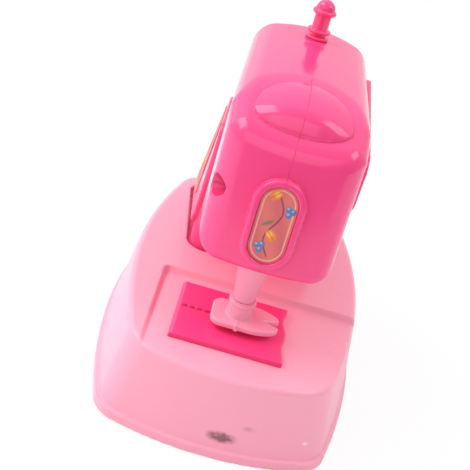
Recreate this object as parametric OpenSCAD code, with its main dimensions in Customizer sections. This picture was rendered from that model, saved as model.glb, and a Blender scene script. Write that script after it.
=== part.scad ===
// Toy sewing machine: a light pink bed, a hot pink arm in two halves and a needle worked by a hand wheel.
// X runs along the machine with the needle end at minus X, the operator sits at minus Y and Z is up.
// The origin is at the middle of the bed's underside. Lengths are millimetres.

/* [Bed] */
// Length of the bed over its bowed ends
bed_l = 120; // [114:1:134]
// Width of the bed at its widest
bed_w = 81; // [77:1:92]
// Width of the bed across its needle-end corners
bed_near_w = 64.5; // [58:0.5:70]
// Width of the bed across its wheel-end corners
bed_far_w = 66; // [62:1:74]
// Height of the bed's plateau
bed_h = 27.5; // [24:0.5:34]
// How far the needle end bows out
near_bow = 6; // [3:0.5:9]
// How far the wheel end bows out
far_bow = 5; // [3:0.5:8]
// Radius of the bed's four corners seen from above
bed_corner_r = 4.5; // [3:0.5:10]
// How far each side leans in over the bed's height
side_draft = 5; // [2:0.5:6]
// How far each end leans in over the bed's height
end_draft = 2.5; // [1:0.5:5]
// Rounding of the bed's top edge
bed_edge_r = 2.5; // [1:0.5:4]
// Height of the lip round the foot of the bed
lip_h = 3; // [2:0.5:5]
// How far the lip stands out from the wall
lip_out = 0.9; // [0.4:0.1:1.5]
// Thickness of the bed's walls
bed_wall = 2.2; // [1.6:0.1:2.8]
// Thickness of the bed's top
bed_top_t = 2; // [1.6:0.1:2.6]
// Thickness of the bed's cover
cover_t = 2; // [1.8:0.1:3]

/* [Work area] */
// Depth of the sunk work area
work_depth = 2; // [1.2:0.1:2.4]
// Place along X of the step at the far end of the work area
work_step_x = -13.6; // [-16:0.2:-11]
// Place along Y of the rim beside the work area
work_rim_y = 24.6; // [22:0.2:27]
// Fall of the rim toward the needle end
rim_fall = 1.8; // [0.5:0.1:2]
// Depth of the socket that holds the column
socket_depth = 2.5; // [2:0.1:3]
// Gap round the column in its socket
socket_gap = 0.7; // [0.3:0.1:1]
// Length of the cloth plate along X
cloth_l = 27.4; // [24:0.2:30]
// Width of the cloth plate along Y
cloth_w = 32.3; // [28:0.2:36]
// Thickness of the cloth plate
cloth_t = 1.7; // [1.2:0.1:2.2]
// Depth of the bays in the cloth plate's operator edge
cloth_wave = 1.1; // [0.2:0.1:1.6]
// Place along X of the cloth plate's middle
cloth_x = -32.7; // [-34:0.1:-31.6]
// Place along Y of the cloth plate's middle
cloth_y = 2.2; // [0:0.1:4]

/* [Arm] */
// Width of the arm
arm_w = 38; // [34:0.5:42]
// Height of the arm's top above the ground
arm_top_z = 95.5; // [92:0.5:104]
// Height of the arm's underside above the ground
arm_bottom_z = 50.5; // [49:0.5:53]
// Place along X of the needle-end face at its foot
arm_near_x = -45; // [-48:0.5:-44]
// Place along X of the wheel-end face
arm_far_x = 44; // [42:0.5:46]
// Thickness of the arm's shells
arm_wall = 2; // [1.6:0.1:2.4]
// Rise of the arm's top from its edges to its middle
arm_crown = 4; // [2:0.5:6]
// Place along X where the top begins to fall
crease_x = -16.5; // [-20:0.5:-12]
// Place along X of the ledge above the needle-end face
ledge_x = -39.5; // [-42:0.5:-38]
// Height of that ledge above the ground
ledge_z = 85.5; // [82:0.5:88]
// How far the needle-end face bows out
face_bow = 3; // [1:0.5:5]
// Rounding of the arm's upright corners
arm_corner_r = 6; // [4:0.5:8]
// Height that the raised side panels stand out
panel_t = 1.6; // [0.8:0.1:2]

/* [Column] */
// Place along X of the column's needle side
col_near_x = 1.5; // [0:0.5:4]
// Place along X of the column's wheel side at its foot
col_far_x = 46.5; // [45:0.5:48]
// Width of the column's foot at its needle side
col_near_w = 40.5; // [39:0.5:44]
// Width of the column's foot at its wheel side
col_far_w = 51; // [46:0.5:54]

/* [End panel and labels] */
// Width of the round-ended frame on the needle-end face
frame_w = 14; // [11:0.5:16]
// Height of that frame
frame_h = 25; // [22:0.5:27]
// Height of the frame's middle above the ground
frame_z = 65; // [63:0.5:67]
// How far the frame stands out
frame_out = 1.2; // [0.8:0.1:2]
// Width of the frame's rim
frame_rim = 1.9; // [1.4:0.1:2.5]
// Thickness of a paper label
label_t = 0.25; // [0.2:0.05:0.4]

/* [Needle] */
// Place along X of the needle bar
needle_x = -34; // [-34.6:0.1:-33.4]
// Place along Y of the needle bar
needle_y = 0.8; // [-1:0.1:1.5]
// Diameter of the needle bar in its guide
bar_d = 9; // [8.4:0.1:9.6]
// Diameter of the needle bar's stem in the foot
stem_d = 5; // [4:0.2:5.6]
// Diameter of the needle bar where its cone meets the foot's collar
neck_d = 6.1; // [5.8:0.1:6.6]
// Height that the foot is lifted
lift = 6; // [4:0.2:6.4]
// Gap between the lowered foot and the cloth plate
foot_gap = 1.8; // [1:0.1:2.5]
// Length of the foot behind the needle bar
foot_back = 7.7; // [6:0.1:9]
// Length of the foot's toes in front of the needle bar
foot_front = 11.9; // [10:0.1:13]
// Width of the foot along X
foot_w = 12.4; // [11:0.2:13]
// Thickness of the foot
foot_t = 1.8; // [1.4:0.1:2.2]
// Diameter of the foot's collar
collar_d = 7.2; // [6.6:0.1:8.4]
// Height of the foot's collar
collar_h = 5.4; // [4.5:0.1:6]

/* [Drive] */
// Height of the main shaft above the ground
shaft_z = 70; // [69:0.5:72]
// Diameter of the main shaft
shaft_d = 4; // [3:0.1:4.4]
// Diameter of the crank disc
disc_d = 14; // [12.5:0.5:15]
// Diameter of the crank pin
pin_d = 3; // [2.4:0.1:3.4]
// Outer diameter of the shaft bushes
bush_d = 8; // [7:0.2:9]
// Diameter of the hand wheel
wheel_d = 30; // [26:0.5:33]
// Width of the hand wheel's rim
wheel_w = 9; // [7:0.5:9.5]
// Number of finger dips round the hand wheel
wheel_dips = 14; // [8:1:18]

/* [Spool pin] */
// Place along X of the spool pin
spool_x = 28.5; // [24:0.5:32]
// Diameter of the spool pin's post
spool_d = 5.1; // [4:0.1:6]
// Diameter of the spool pin's head and rings
spool_head_d = 7.4; // [6.4:0.1:9]
// Height of the spool pin above the arm
spool_h = 12.2; // [10:0.2:16]

/* [Screws] */
// Diameter of the screws
screw_d = 2.6; // [2.2:0.1:3]
// Diameter of the screw heads
screw_head_d = 5.4; // [4.6:0.1:5.8]
// Thickness of the screw heads
screw_head_t = 1.2; // [0.8:0.1:1.4]
// Diameter of the wells that lead to the arm's screws
well_d = 6.5; // [6:0.1:7]

/* [Hidden] */

// Colours of the plastics, paper and metal
light_pink = [0.98, 0.66, 0.75];
hot_pink = [0.97, 0.30, 0.55];
label_pink = [0.82, 0.45, 0.45];
steel_grey = [0.75, 0.76, 0.78];
nylon_white = [0.93, 0.92, 0.88];

// Smoothness of round things, of rounded outlines and of the bed's bowed sides
round_fn = 48;
hull_fn = 28;
dome_fn = 60;
corner_steps = 6;
side_steps = 12;
end_steps = 8;

// Overrun of cuts, bite of joined bosses and the clearances of fits
cut = 1;
bite = 0.4;
run_gap = 0.05;
slide_gap = 0.1;
seat_gap = 0.2;
free_gap = 0.35;
slice_t = 0.02;

// Levels of the bed
work_z = bed_h - work_depth;
under_z = work_z - bed_top_t;
socket_z = bed_h - socket_depth;
cloth_top_z = work_z + cloth_t;

// Bosses and screws of the bed
boss_d = 7;
pilot_d = screw_d + 2*run_gap;
clear_d = screw_d + 2*seat_gap;
head_sink = screw_head_t + seat_gap;
bed_boss_x_share = 0.74;
bed_boss_y_share = 0.55;
bed_screw_l = 9;
bed_boss_xs = [-bed_l/2*bed_boss_x_share, bed_l/2*bed_boss_x_share];
bed_boss_y = bed_w/2*bed_boss_y_share;

// The cloth plate's rolled edge and bays, the pegs under it and the stitches moulded on it
cloth_roll_share = 0.75;
cloth_roll = cloth_roll_share*cloth_t;
bay_count = 2;
bay_steps = 24;
bay_near_share = 0.4;
peg_d = 3;
peg_over = 1.8;
peg_l = bed_top_t + peg_over;
peg_share = 0.32;
stitch_count = 5;
stitch_l = 1.6;
stitch_d = 0.9;
stitch_step = 2.2;
stitch_off = 2.2;
stitch_x = needle_x + stitch_off;

// The arm's roundings and its column
arm_half = arm_w/2;
arm_top_corner_r = 6;
arm_low_corner_r = 7;
arm_low_edge_r = 3;
ledge_r = 4;
crease_r = 12;
far_top_r = 5.5;
col_corner_r = 5;
col_floor_t = 2.2;
col_top_share = 0.5143;
col_top_z = arm_bottom_z + col_top_share*(ledge_z - arm_bottom_z);
col_screw_l = 9;
col_boss_end = 1;
col_boss_h = col_screw_l + col_boss_end;
col_screw_x_shares = [0.22, 0.8];
col_screw_y_share = 0.5;
col_screw_xs = [for (s = col_screw_x_shares) col_near_x + s*(col_far_x - col_near_x)];
col_screw_y = col_near_w/2*col_screw_y_share;

// The dome over the ledge
dome_half_w = 13.2;
dome_half_l = 9.7;
dome_rise = 3.6;
dome_root = 1;
dome_run_share = 0.561;
dome_r = (dome_half_l*dome_half_l + dome_rise*dome_rise)/(2*dome_rise);
fall_angle = atan2(arm_top_z - ledge_z, crease_x - ledge_x);

// The needle-end face leans back by this angle
face_lean = atan2(ledge_x - arm_near_x, ledge_z - arm_bottom_z);
frame_floor = 0.5;
frame_root = 3;

// Outlines of the raised side panels
front_panel_in = [17.5, 12];
front_panel_drop = 2.5;
front_panel_near_drop = 3;
front_panel_far_drop = 7.5;
front_panel_near_x = arm_near_x + front_panel_in[0];
front_panel_far_x = arm_far_x - front_panel_in[1];
front_panel_low_z = col_top_z - front_panel_drop;
front_panel_near_z = ledge_z - front_panel_near_drop;
front_panel_far_z = arm_top_z - front_panel_far_drop;
back_panel_in = [3, 7];
back_panel_rise = 5.5;
back_panel_drop = 0.5;
back_panel_near_x = col_near_x + back_panel_in[0];
back_panel_far_x = arm_far_x - back_panel_in[1];
back_panel_low_z = bed_h + back_panel_rise;
back_panel_top_z = col_top_z - back_panel_drop;
panel_corner_r = 5;
label_inset = 3.5;
back_label_in = 15;

// The needle: the bar, its cone and the levels it starts from
foot_low_z = cloth_top_z + foot_gap;
foot_top_z = foot_low_z + foot_t;
collar_top_z = foot_top_z + collar_h;
cone_h = 11.5;
yoke_foot = 6.5;
cone_low_z = collar_top_z + seat_gap;
cone_top_z = cone_low_z + cone_h;
bar_top_z = shaft_z - lift/2 - pin_d/2 - yoke_foot;
guide_wall = 1.2;
guide_flange = 1;
guide_flange_t = 1.5;
guide_d = bar_d + 2*slide_gap + 2*guide_wall;
toe_notch_w = 3;
toe_notch_share = 0.34;
toe_start_share = 0.72;
foot_corner_r = 3.2;
toe_r = 1;

// The crank: the pin runs in the yoke's slot, with room for the pin's lead over the even lift
crank_r = lift/2;
yoke_lead_share = 0.2106;
yoke_room = crank_r*yoke_lead_share + free_gap;
yoke_off = 1.5;
yoke_x = needle_x + yoke_off;
yoke_t = 2.5;
yoke_web = 2.5;
slot_h = pin_d + 2*yoke_room;
slot_half = crank_r + pin_d/2 + free_gap;
yoke_half = slot_half + yoke_web;
yoke_tenon_d = 4;
yoke_tenon_l = 4;
disc_t = 4;
disc_gap = 1.1;
disc_near_x = needle_x + bar_d/2 + disc_gap;
disc_floor_x = disc_near_x + disc_t/2;
disc_far_x = disc_near_x + disc_t;
pin_show = 0.45;
pin_near_x = yoke_x - yoke_t/2 - pin_show;

// The arm's screws, as places along X and Z measured from its edges, and their wells
arm_screw_l = 15;
arm_boss_d = 5.2;
head_screw_gap = 0.45;
head_screw_rise = 18.4;
mid_screw_in = [8, 12.5];
far_screw_in = [7.5, 13.5];
low_screw_in = [8.5, 16.5];
arm_screw_places = [
    [yoke_x - yoke_t/2 - head_screw_gap - arm_boss_d/2, arm_bottom_z + head_screw_rise],
    [crease_x + mid_screw_in.x, arm_top_z - mid_screw_in.y],
    [arm_far_x - far_screw_in.x, arm_top_z - far_screw_in.y],
    [arm_far_x - low_screw_in.x, bed_h + low_screw_in.y]];
well_wall = 1.4;
well_seat_t = 1.6;
well_seat_y = needle_y + yoke_half + free_gap + well_seat_t;

// The shaft, its bushes and the ribs that hold them
washer_t = 0.8;
washer_rim = 2;
washer_d = shaft_d + 2*washer_rim;
bush_l = 6;
front_bush_x = disc_far_x + washer_t + seat_gap;
rear_bush_x = arm_far_x + seat_gap - bush_l;
rib_t = 4;
rib_rim = 3;
rib_half = bush_d/2 + rib_rim;
rear_washer_x = rear_bush_x + bush_l;
wheel_near_x = rear_washer_x + washer_t + seat_gap;
wheel_hub_d = 10;
wheel_rim_t = 3;
wheel_web_t = 3;
wheel_dip_d = 5;
wheel_dip_depth = 0.8;
wheel_far_x = wheel_near_x + wheel_w;
wheel_screw_rim = 1.5;
wheel_screw_head_d = shaft_d + 2*wheel_screw_rim;
wheel_screw_l = 6;
wheel_screw_d = shaft_d/2;

// The spool pin's rings and its hold under the roof
spool_ring_t = 1;
spool_head_t = 4.4;
spool_lip_t = 1.3;
spool_shoulder = 0.5;
spool_stem_d = spool_d - 2*spool_shoulder;
spool_hold_t = 1.4;
spool_hold_z = arm_top_z - arm_wall - seat_gap;

// Outline helpers

function unit(v) = v/norm(v);
// Points of a rounded corner at b between the neighbours a and c
function corner(a, b, c, r) =
    let (
        u = unit(a - b),
        v = unit(c - b),
        half = acos(u*v)/2,
        mid = b + unit(u + v)*(r/sin(half)),
        p = b + u*(r/tan(half)) - mid,
        q = b + v*(r/tan(half)) - mid,
        start = atan2(p.y, p.x),
        turn = atan2(q.y, q.x) - start,
        sweep = turn > 180 ? turn - 360 : turn < -180 ? turn + 360 : turn)
    [for (k = [0:corner_steps]) mid + r*[cos(start + sweep*k/corner_steps), sin(start + sweep*k/corner_steps)]];
// An outline with each point rounded by its own radius, where zero keeps it sharp
function rounded(points, radii) =
    let (n = len(points))
    [for (i = [0:n - 1])
        let (a = points[(i + n - 1)%n], b = points[i], c = points[(i + 1)%n], r = radii[i])
        each (r > 0 ? corner(a, b, c, r) : [b])];

// Half the bed's width at a share of its length, through three widths
function bed_half(u) =
    (bed_near_w*(1 - u)*(1 - 2*u) + bed_w*4*u*(1 - u) + bed_far_w*u*(2*u - 1))/2;
// The bed's outline, drawn in at its sides and at its ends
function bed_points(side_in, end_in) =
    let (
        x0 = -bed_l/2 + near_bow + end_in,
        x1 = bed_l/2 - far_bow - end_in,
        w0 = bed_half(0) - side_in,
        w1 = bed_half(1) - side_in)
    concat(
        [for (k = [0:side_steps - 1]) let (u = k/side_steps) [x0 + u*(x1 - x0), side_in - bed_half(u)]],
        [for (k = [0:end_steps - 1]) let (s = 2*k/end_steps - 1) [x1 + far_bow*(1 - s*s), s*w1]],
        [for (k = [0:side_steps - 1]) let (u = 1 - k/side_steps) [x0 + u*(x1 - x0), bed_half(u) - side_in]],
        [for (k = [0:end_steps - 1]) let (s = 1 - 2*k/end_steps) [x0 - near_bow*(1 - s*s), s*w0]]);

module bed_outline(side_in, end_in) {
    offset(r = bed_corner_r, $fn = hull_fn)
        offset(delta = -bed_corner_r)
            polygon(bed_points(side_in, end_in));
}
module bed_slice(z, side_in, end_in) {
    translate([0, 0, z])
        linear_extrude(slice_t)
            bed_outline(side_in, end_in);
}

// Turn an outline drawn in X and Z into a prism along Y, or one drawn in Y and Z into a prism along X
module along_y(y0, y1) {
    translate([0, y1, 0])
        rotate([90, 0, 0])
            linear_extrude(y1 - y0)
                children();
}
module along_x(x0, x1) {
    translate([x0, 0, 0])
        rotate([90, 0, 90])
            linear_extrude(x1 - x0)
                children();
}
// A cylinder along X, Y or Z
module rod_x(x0, x1, d) {
    translate([x0, 0, 0])
        rotate([0, 90, 0])
            cylinder(h = x1 - x0, d = d, $fn = round_fn);
}
module rod_y(y0, y1, d) {
    translate([0, y0, 0])
        rotate([-90, 0, 0])
            cylinder(h = y1 - y0, d = d, $fn = round_fn);
}
module rod_z(z0, z1, d) {
    translate([0, 0, z0])
        cylinder(h = z1 - z0, d = d, $fn = round_fn);
}
// A screw that points up, with its head's underside at the origin
module screw_up(shank) {
    rod_z(-screw_head_t, 0, screw_head_d);
    rod_z(-bite, shank, screw_d);
}

// Bed

module bed_shell() {
    color(light_pink) {
        difference() {
            union() {
                linear_extrude(lip_h)
                    bed_outline(0, 0);
                bed_walls();
            }
            bed_cavity();
            work_cut();
            socket_cut();
            cloth_peg_places()
                rod_z(under_z - cut, work_z + cut, peg_d + 2*seat_gap);
            column_screw_places()
                rod_z(under_z - cut, socket_z + cut, clear_d);
        }
        bed_boss_places()
            difference() {
                rod_z(cover_t, under_z + bite, boss_d);
                rod_z(cover_t - cut, cover_t + bed_screw_l, pilot_d);
            }
    }
}
module bed_walls() {
    intersection() {
        hull() {
            bed_slice(lip_h - slice_t, lip_out, lip_out);
            bed_slice(bed_h - bed_edge_r, side_draft, end_draft);
            bed_slice(bed_h - slice_t, side_draft + bed_edge_r, end_draft + bed_edge_r);
        }
        rim_slope();
    }
}
// The rim falls toward the needle end from the step of the work area
module rim_slope() {
    along_y(-bed_w, bed_w)
        polygon([[-bed_l, 0], [bed_l, 0], [bed_l, bed_h + cut], [work_step_x, bed_h + cut],
            [work_step_x, bed_h], [-bed_l/2, bed_h - rim_fall], [-bed_l, bed_h - rim_fall]]);
}
module bed_cavity() {
    hull() {
        bed_slice(-cut, lip_out + bed_wall, lip_out + bed_wall);
        bed_slice(cover_t, lip_out + bed_wall, lip_out + bed_wall);
        bed_slice(under_z - slice_t, side_draft + bed_wall, end_draft + bed_wall);
    }
}
module work_cut() {
    translate([-bed_l, -bed_w, work_z])
        cube([bed_l + work_step_x, bed_w + work_rim_y, work_depth + cut]);
}
module socket_cut() {
    translate([0, 0, socket_z])
        linear_extrude(socket_depth + cut)
            polygon(column_plan(-socket_gap));
}
module bed_boss_places() {
    for (x = bed_boss_xs, side = [-1, 1])
        translate([x, side*bed_boss_y, 0])
            children();
}
module cloth_peg_places() {
    for (side = [-1, 1])
        translate([cloth_x, cloth_y + side*cloth_w*peg_share, 0])
            children();
}
module column_screw_places() {
    for (x = col_screw_xs, side = [-1, 1])
        translate([x, side*col_screw_y, 0])
            children();
}

module bed_cover() {
    color(light_pink)
        difference() {
            linear_extrude(cover_t)
                bed_outline(lip_out + bed_wall + seat_gap, lip_out + bed_wall + seat_gap);
            bed_boss_places() {
                rod_z(-cut, cover_t + cut, clear_d);
                rod_z(-cut, head_sink, screw_head_d + 2*seat_gap);
            }
        }
}
module bed_screws() {
    color(steel_grey)
        bed_boss_places()
            translate([0, 0, head_sink])
                screw_up(bed_screw_l - seat_gap);
}

// The cloth plate from above, with bays that deepen away from the needle end
function cloth_plan() =
    let (x0 = cloth_x - cloth_l/2, y0 = cloth_y - cloth_w/2)
    concat(
        [for (k = [0:bay_steps])
            let (
                u = k/bay_steps,
                deep = bay_near_share + (1 - bay_near_share)*u,
                bay = (1 - cos(360*bay_count*u))/2)
            [x0 + u*cloth_l, y0 + cloth_wave*deep*bay]],
        [[x0 + cloth_l, y0 + cloth_w], [x0, y0 + cloth_w]]);
// The cloth plate from its end, with a rolled edge away from the operator
function cloth_section() =
    let (y0 = cloth_y - cloth_w/2, y1 = cloth_y + cloth_w/2)
    rounded([[y0, work_z], [y1, work_z], [y1, cloth_top_z], [y0, cloth_top_z]], [0, 0, cloth_roll, 0]);
module cloth_plate() {
    color(hot_pink) {
        intersection() {
            along_x(cloth_x - cloth_l, cloth_x + cloth_l)
                polygon(cloth_section());
            linear_extrude(bed_h + cloth_t)
                polygon(cloth_plan());
        }
        cloth_peg_places()
            rod_z(work_z - peg_l, work_z + bite, peg_d);
        for (k = [0:stitch_count - 1])
            translate([stitch_x, cloth_y + cloth_w/2 - cloth_roll - stitch_l - k*stitch_step, cloth_top_z])
                rod_y(0, stitch_l, stitch_d);
    }
}

// Arm and column

// Side view of the arm, drawn in by an inset
function arm_side(inset) =
    let (x1 = arm_far_x - inset, z0 = arm_bottom_z + inset, z1 = arm_top_z - inset, ease = max(0, inset))
    rounded(
        [[arm_near_x + inset, z0], [x1, z0], [x1, z1], [crease_x, z1], [ledge_x + inset, ledge_z - inset]],
        [arm_low_edge_r - ease, 0, far_top_r - ease, crease_r, ledge_r - ease/2]);
// Cross-section of the arm, with a crowned top
function arm_section(inset) =
    let (
        w = arm_half - inset,
        z0 = arm_bottom_z + inset,
        z1 = arm_top_z - inset,
        ease = max(0, inset),
        crown = [for (k = [-3:3]) let (s = -k/4) [s*w, z1 - arm_crown*s*s]])
    rounded(
        concat([[-w, z0], [w, z0], [w, z1 - arm_crown]], crown, [[-w, z1 - arm_crown]]),
        concat([arm_low_corner_r - ease, arm_low_corner_r - ease, arm_top_corner_r - ease],
            [for (p = crown) 0], [arm_top_corner_r - ease]));
// Plan of the arm, with a bowed needle end
function arm_plan(inset) =
    let (
        w = arm_half - inset,
        x0 = arm_near_x + inset,
        x1 = arm_far_x - inset,
        ease = max(0, inset),
        bow = [for (k = [-2:2]) let (s = k/3) [x0 + face_bow*s*s, -s*w]])
    rounded(
        concat([[x0 + face_bow, -w], [x1, -w], [x1, w], [x0 + face_bow, w]], bow),
        concat([for (k = [0:3]) arm_corner_r - ease], [for (p = bow) 0]));
module arm_solid(inset) {
    intersection() {
        along_y(-arm_w, arm_w)
            polygon(arm_side(inset));
        along_x(2*arm_near_x, 2*arm_far_x)
            polygon(arm_section(inset));
        linear_extrude(2*arm_top_z)
            polygon(arm_plan(inset));
    }
}
// Foot of the column seen from above, drawn in by an inset
function column_plan(inset) =
    let (x0 = col_near_x + inset, x1 = col_far_x - inset, w0 = col_near_w/2 - inset, w1 = col_far_w/2 - inset)
    rounded([[x0, -w0], [x1, -w1], [x1, w1], [x0, w0]], [for (k = [0:3]) col_corner_r - inset]);
function column_top(inset) =
    let (x0 = col_near_x + inset, x1 = arm_far_x - inset, w = arm_half - inset)
    rounded([[x0, -w], [x1, -w], [x1, w], [x0, w]], [for (k = [0:3]) col_corner_r - inset]);
// Half the column's width at a place along X and Z
function column_half(x, z) =
    let (
        u = (x - col_near_x)/(col_far_x - col_near_x),
        foot = (col_near_w + u*(col_far_w - col_near_w))/2,
        up = (z - socket_z)/(col_top_z - socket_z))
    up > 1 ? arm_half : foot + up*(arm_half - foot);
module column_solid(inset, low_z) {
    hull() {
        translate([0, 0, low_z])
            linear_extrude(slice_t)
                polygon(column_plan(inset));
        translate([0, 0, col_top_z - slice_t])
            linear_extrude(slice_t)
                polygon(column_top(inset));
    }
}
// A bump on the falling front of the arm's top
module dome() {
    run = dome_run_share*(crease_x - ledge_x);
    translate([ledge_x + run, 0, ledge_z + run*tan(fall_angle)])
        rotate([0, -fall_angle, 0])
            intersection() {
                hull()
                    for (side = [-1, 1])
                        translate([0, side*(dome_half_w - dome_half_l), dome_rise - dome_r])
                            sphere(r = dome_r, $fn = dome_fn);
                translate([-dome_half_l, -dome_half_w, -dome_root])
                    cube([2*dome_half_l, 2*dome_half_w, dome_root + 2*dome_rise]);
            }
}
// A round-ended outline standing on end
module pill(w, h) {
    translate([-w/2, (w - h)/2])
        square([w, h - w]);
    for (side = [-1, 1])
        translate([0, side*(h - w)/2])
            circle(d = w, $fn = round_fn);
}
// Places something against the needle-end face, with X pointing out of the face's front
module on_face() {
    translate([arm_near_x + (frame_z - arm_bottom_z)*tan(face_lean), 0, frame_z])
        rotate([0, face_lean, 0])
            children();
}
module end_frame() {
    on_face()
        difference() {
            along_x(-frame_out, frame_root)
                pill(frame_w, frame_h);
            along_x(-frame_out - cut, -frame_floor)
                pill(frame_w - 2*frame_rim, frame_h - 2*frame_rim);
        }
}
module front_panel_outline(inset) {
    x0 = front_panel_near_x + inset;
    x1 = front_panel_far_x - inset;
    polygon(rounded(
        [[x0, front_panel_low_z + inset], [x1, front_panel_low_z + inset], [x1, front_panel_far_z - inset],
            [x0, front_panel_near_z - inset]],
        [for (k = [0:3]) panel_corner_r - inset]));
}
module back_panel_outline(inset, near_in) {
    x0 = back_panel_near_x + near_in;
    x1 = back_panel_far_x - inset;
    polygon(rounded(
        [[x0, back_panel_low_z + inset], [x1, back_panel_low_z + inset], [x1, back_panel_top_z - inset],
            [x0, back_panel_top_z - inset]],
        [for (k = [0:3]) panel_corner_r - inset]));
}
module front_panel() {
    along_y(-arm_half - panel_t, -arm_half + arm_wall)
        front_panel_outline(0);
}
module back_panel() {
    intersection() {
        column_solid(-panel_t, socket_z);
        along_y(arm_half - arm_wall, col_far_w)
            back_panel_outline(0, 0);
    }
}
module arm_hollow() {
    arm_solid(arm_wall);
    column_solid(arm_wall, socket_z + col_floor_t);
}
// Keeps the half of the arm on one side of the seam
module arm_half_space(side) {
    translate([2*arm_near_x, side > 0 ? 0 : -2*arm_w, 0])
        cube([2*(arm_far_x - arm_near_x), 2*arm_w, 2*arm_top_z]);
}
// Holes that both halves share
module arm_holes() {
    translate([needle_x, needle_y, 0])
        rod_z(arm_bottom_z - cut, arm_bottom_z + arm_wall + cut, guide_d + 2*run_gap);
    translate([spool_x, 0, 0])
        rod_z(arm_top_z - 2*arm_wall, arm_top_z + cut, spool_stem_d + 2*run_gap);
    translate([0, needle_y, shaft_z])
        rod_x(rear_bush_x - cut, arm_far_x + cut, bush_d + 2*run_gap);
    column_screw_places()
        rod_z(socket_z - cut, socket_z + col_screw_l, pilot_d);
}
// Ribs inside both halves that hold the shaft's bushes
module bush_ribs() {
    for (rib = [
        [front_bush_x + (bush_l - rib_t)/2, arm_half - arm_wall/2],
        [arm_far_x - rib_t, arm_half - arm_corner_r]])
        difference() {
            translate([rib[0], -rib[1], shaft_z - rib_half])
                cube([rib_t, 2*rib[1], 2*rib_half]);
            translate([0, needle_y, shaft_z])
                rod_x(rib[0] - cut, rib[0] + rib_t + cut, bush_d + 2*run_gap);
        }
}
module column_bosses() {
    column_screw_places()
        difference() {
            rod_z(socket_z + bite, socket_z + col_boss_h, boss_d);
            rod_z(socket_z, socket_z + col_screw_l, pilot_d);
        }
}
module arm_screw_points() {
    for (place = arm_screw_places)
        translate([place.x, 0, place.y])
            children();
}

module arm_front_shell() {
    color(hot_pink) {
        difference() {
            intersection() {
                union() {
                    arm_solid(0);
                    column_solid(0, socket_z);
                    dome();
                    end_frame();
                    front_panel();
                }
                arm_half_space(-1);
            }
            arm_hollow();
            arm_holes();
        }
        intersection() {
            union() {
                bush_ribs();
                column_bosses();
            }
            arm_half_space(-1);
        }
        for (place = arm_screw_places)
            translate([place.x, 0, place.y])
                difference() {
                    rod_y(arm_wall/2 - column_half(place.x, place.y), well_seat_y - well_seat_t, arm_boss_d);
                    rod_y(well_seat_y - well_seat_t - arm_screw_l, well_seat_y, pilot_d);
                }
    }
}
module arm_back_shell() {
    color(hot_pink) {
        difference() {
            intersection() {
                union() {
                    arm_solid(0);
                    column_solid(0, socket_z);
                    dome();
                    end_frame();
                    back_panel();
                }
                arm_half_space(1);
            }
            difference() {
                arm_hollow();
                arm_screw_points()
                    rod_y(well_seat_y - well_seat_t, arm_w, well_d + 2*well_wall);
            }
            arm_holes();
            arm_screw_points() {
                rod_y(well_seat_y, arm_w, well_d);
                rod_y(0, arm_w, clear_d);
            }
        }
        intersection() {
            union() {
                bush_ribs();
                column_bosses();
            }
            arm_half_space(1);
        }
    }
}
module arm_screws() {
    color(steel_grey)
        arm_screw_points()
            translate([0, well_seat_y, 0])
                rotate([90, 0, 0])
                    screw_up(arm_screw_l - seat_gap);
}
module column_screws() {
    color(steel_grey)
        column_screw_places()
            translate([0, 0, under_z])
                screw_up(col_screw_l - seat_gap);
}

// Labels

module end_label() {
    color(label_pink)
        on_face()
            along_x(-frame_floor - label_t, -frame_floor)
                pill(frame_w - 2*frame_rim - 2*seat_gap, frame_h - 2*frame_rim - 2*seat_gap);
}
module front_label() {
    color(label_pink)
        along_y(-arm_half - panel_t - label_t, -arm_half - panel_t)
            front_panel_outline(label_inset);
}
module back_label() {
    color(label_pink)
        intersection() {
            difference() {
                column_solid(-panel_t - label_t, socket_z);
                column_solid(-panel_t, socket_z);
            }
            along_y(arm_half - arm_wall, col_far_w)
                back_panel_outline(label_inset, back_label_in);
        }
}

// Spool pin

module spool_pin() {
    color(hot_pink)
        translate([spool_x, 0, 0]) {
            for (k = [0, 1])
                rod_z(arm_top_z + 2*k*spool_ring_t, arm_top_z + (2*k + 1)*spool_ring_t, spool_head_d);
            rod_z(arm_top_z, arm_top_z + spool_h - spool_head_t + bite, spool_d);
            translate([0, 0, arm_top_z + spool_h - spool_head_t])
                rotate_extrude($fn = round_fn)
                    spool_head_outline();
            rod_z(spool_hold_z - bite, arm_top_z + bite, spool_stem_d);
            rod_z(spool_hold_z - spool_hold_t, spool_hold_z, spool_head_d);
        }
}
module spool_head_outline() {
    square([spool_head_d/2, spool_lip_t]);
    intersection() {
        translate([0, spool_lip_t - bite])
            square([spool_head_d, spool_head_t]);
        translate([0, spool_head_t - spool_d/2 - bite])
            circle(r = spool_d/2 + bite, $fn = round_fn);
        square([spool_head_d, 2*spool_head_t]);
    }
}

// Needle, foot and guide

module needle_bar() {
    color(light_pink)
        translate([needle_x, needle_y, 0])
            difference() {
                union() {
                    rod_z(foot_top_z, cone_low_z, stem_d);
                    translate([0, 0, cone_low_z])
                        cylinder(h = cone_top_z - cone_low_z, d1 = neck_d, d2 = bar_d, $fn = round_fn);
                    rod_z(cone_top_z, bar_top_z, bar_d);
                }
                translate([yoke_x - needle_x, 0, 0])
                    rod_z(bar_top_z - yoke_tenon_l - seat_gap, bar_top_z + cut, yoke_tenon_d + 2*run_gap);
            }
}
module presser_foot() {
    color(light_pink)
        translate([needle_x, needle_y, 0]) {
            translate([0, 0, foot_low_z])
                linear_extrude(foot_t)
                    polygon(foot_points());
            difference() {
                rod_z(foot_top_z - bite, collar_top_z, collar_d);
                rod_z(foot_top_z, collar_top_z + cut, stem_d + 2*run_gap);
            }
        }
}
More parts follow.
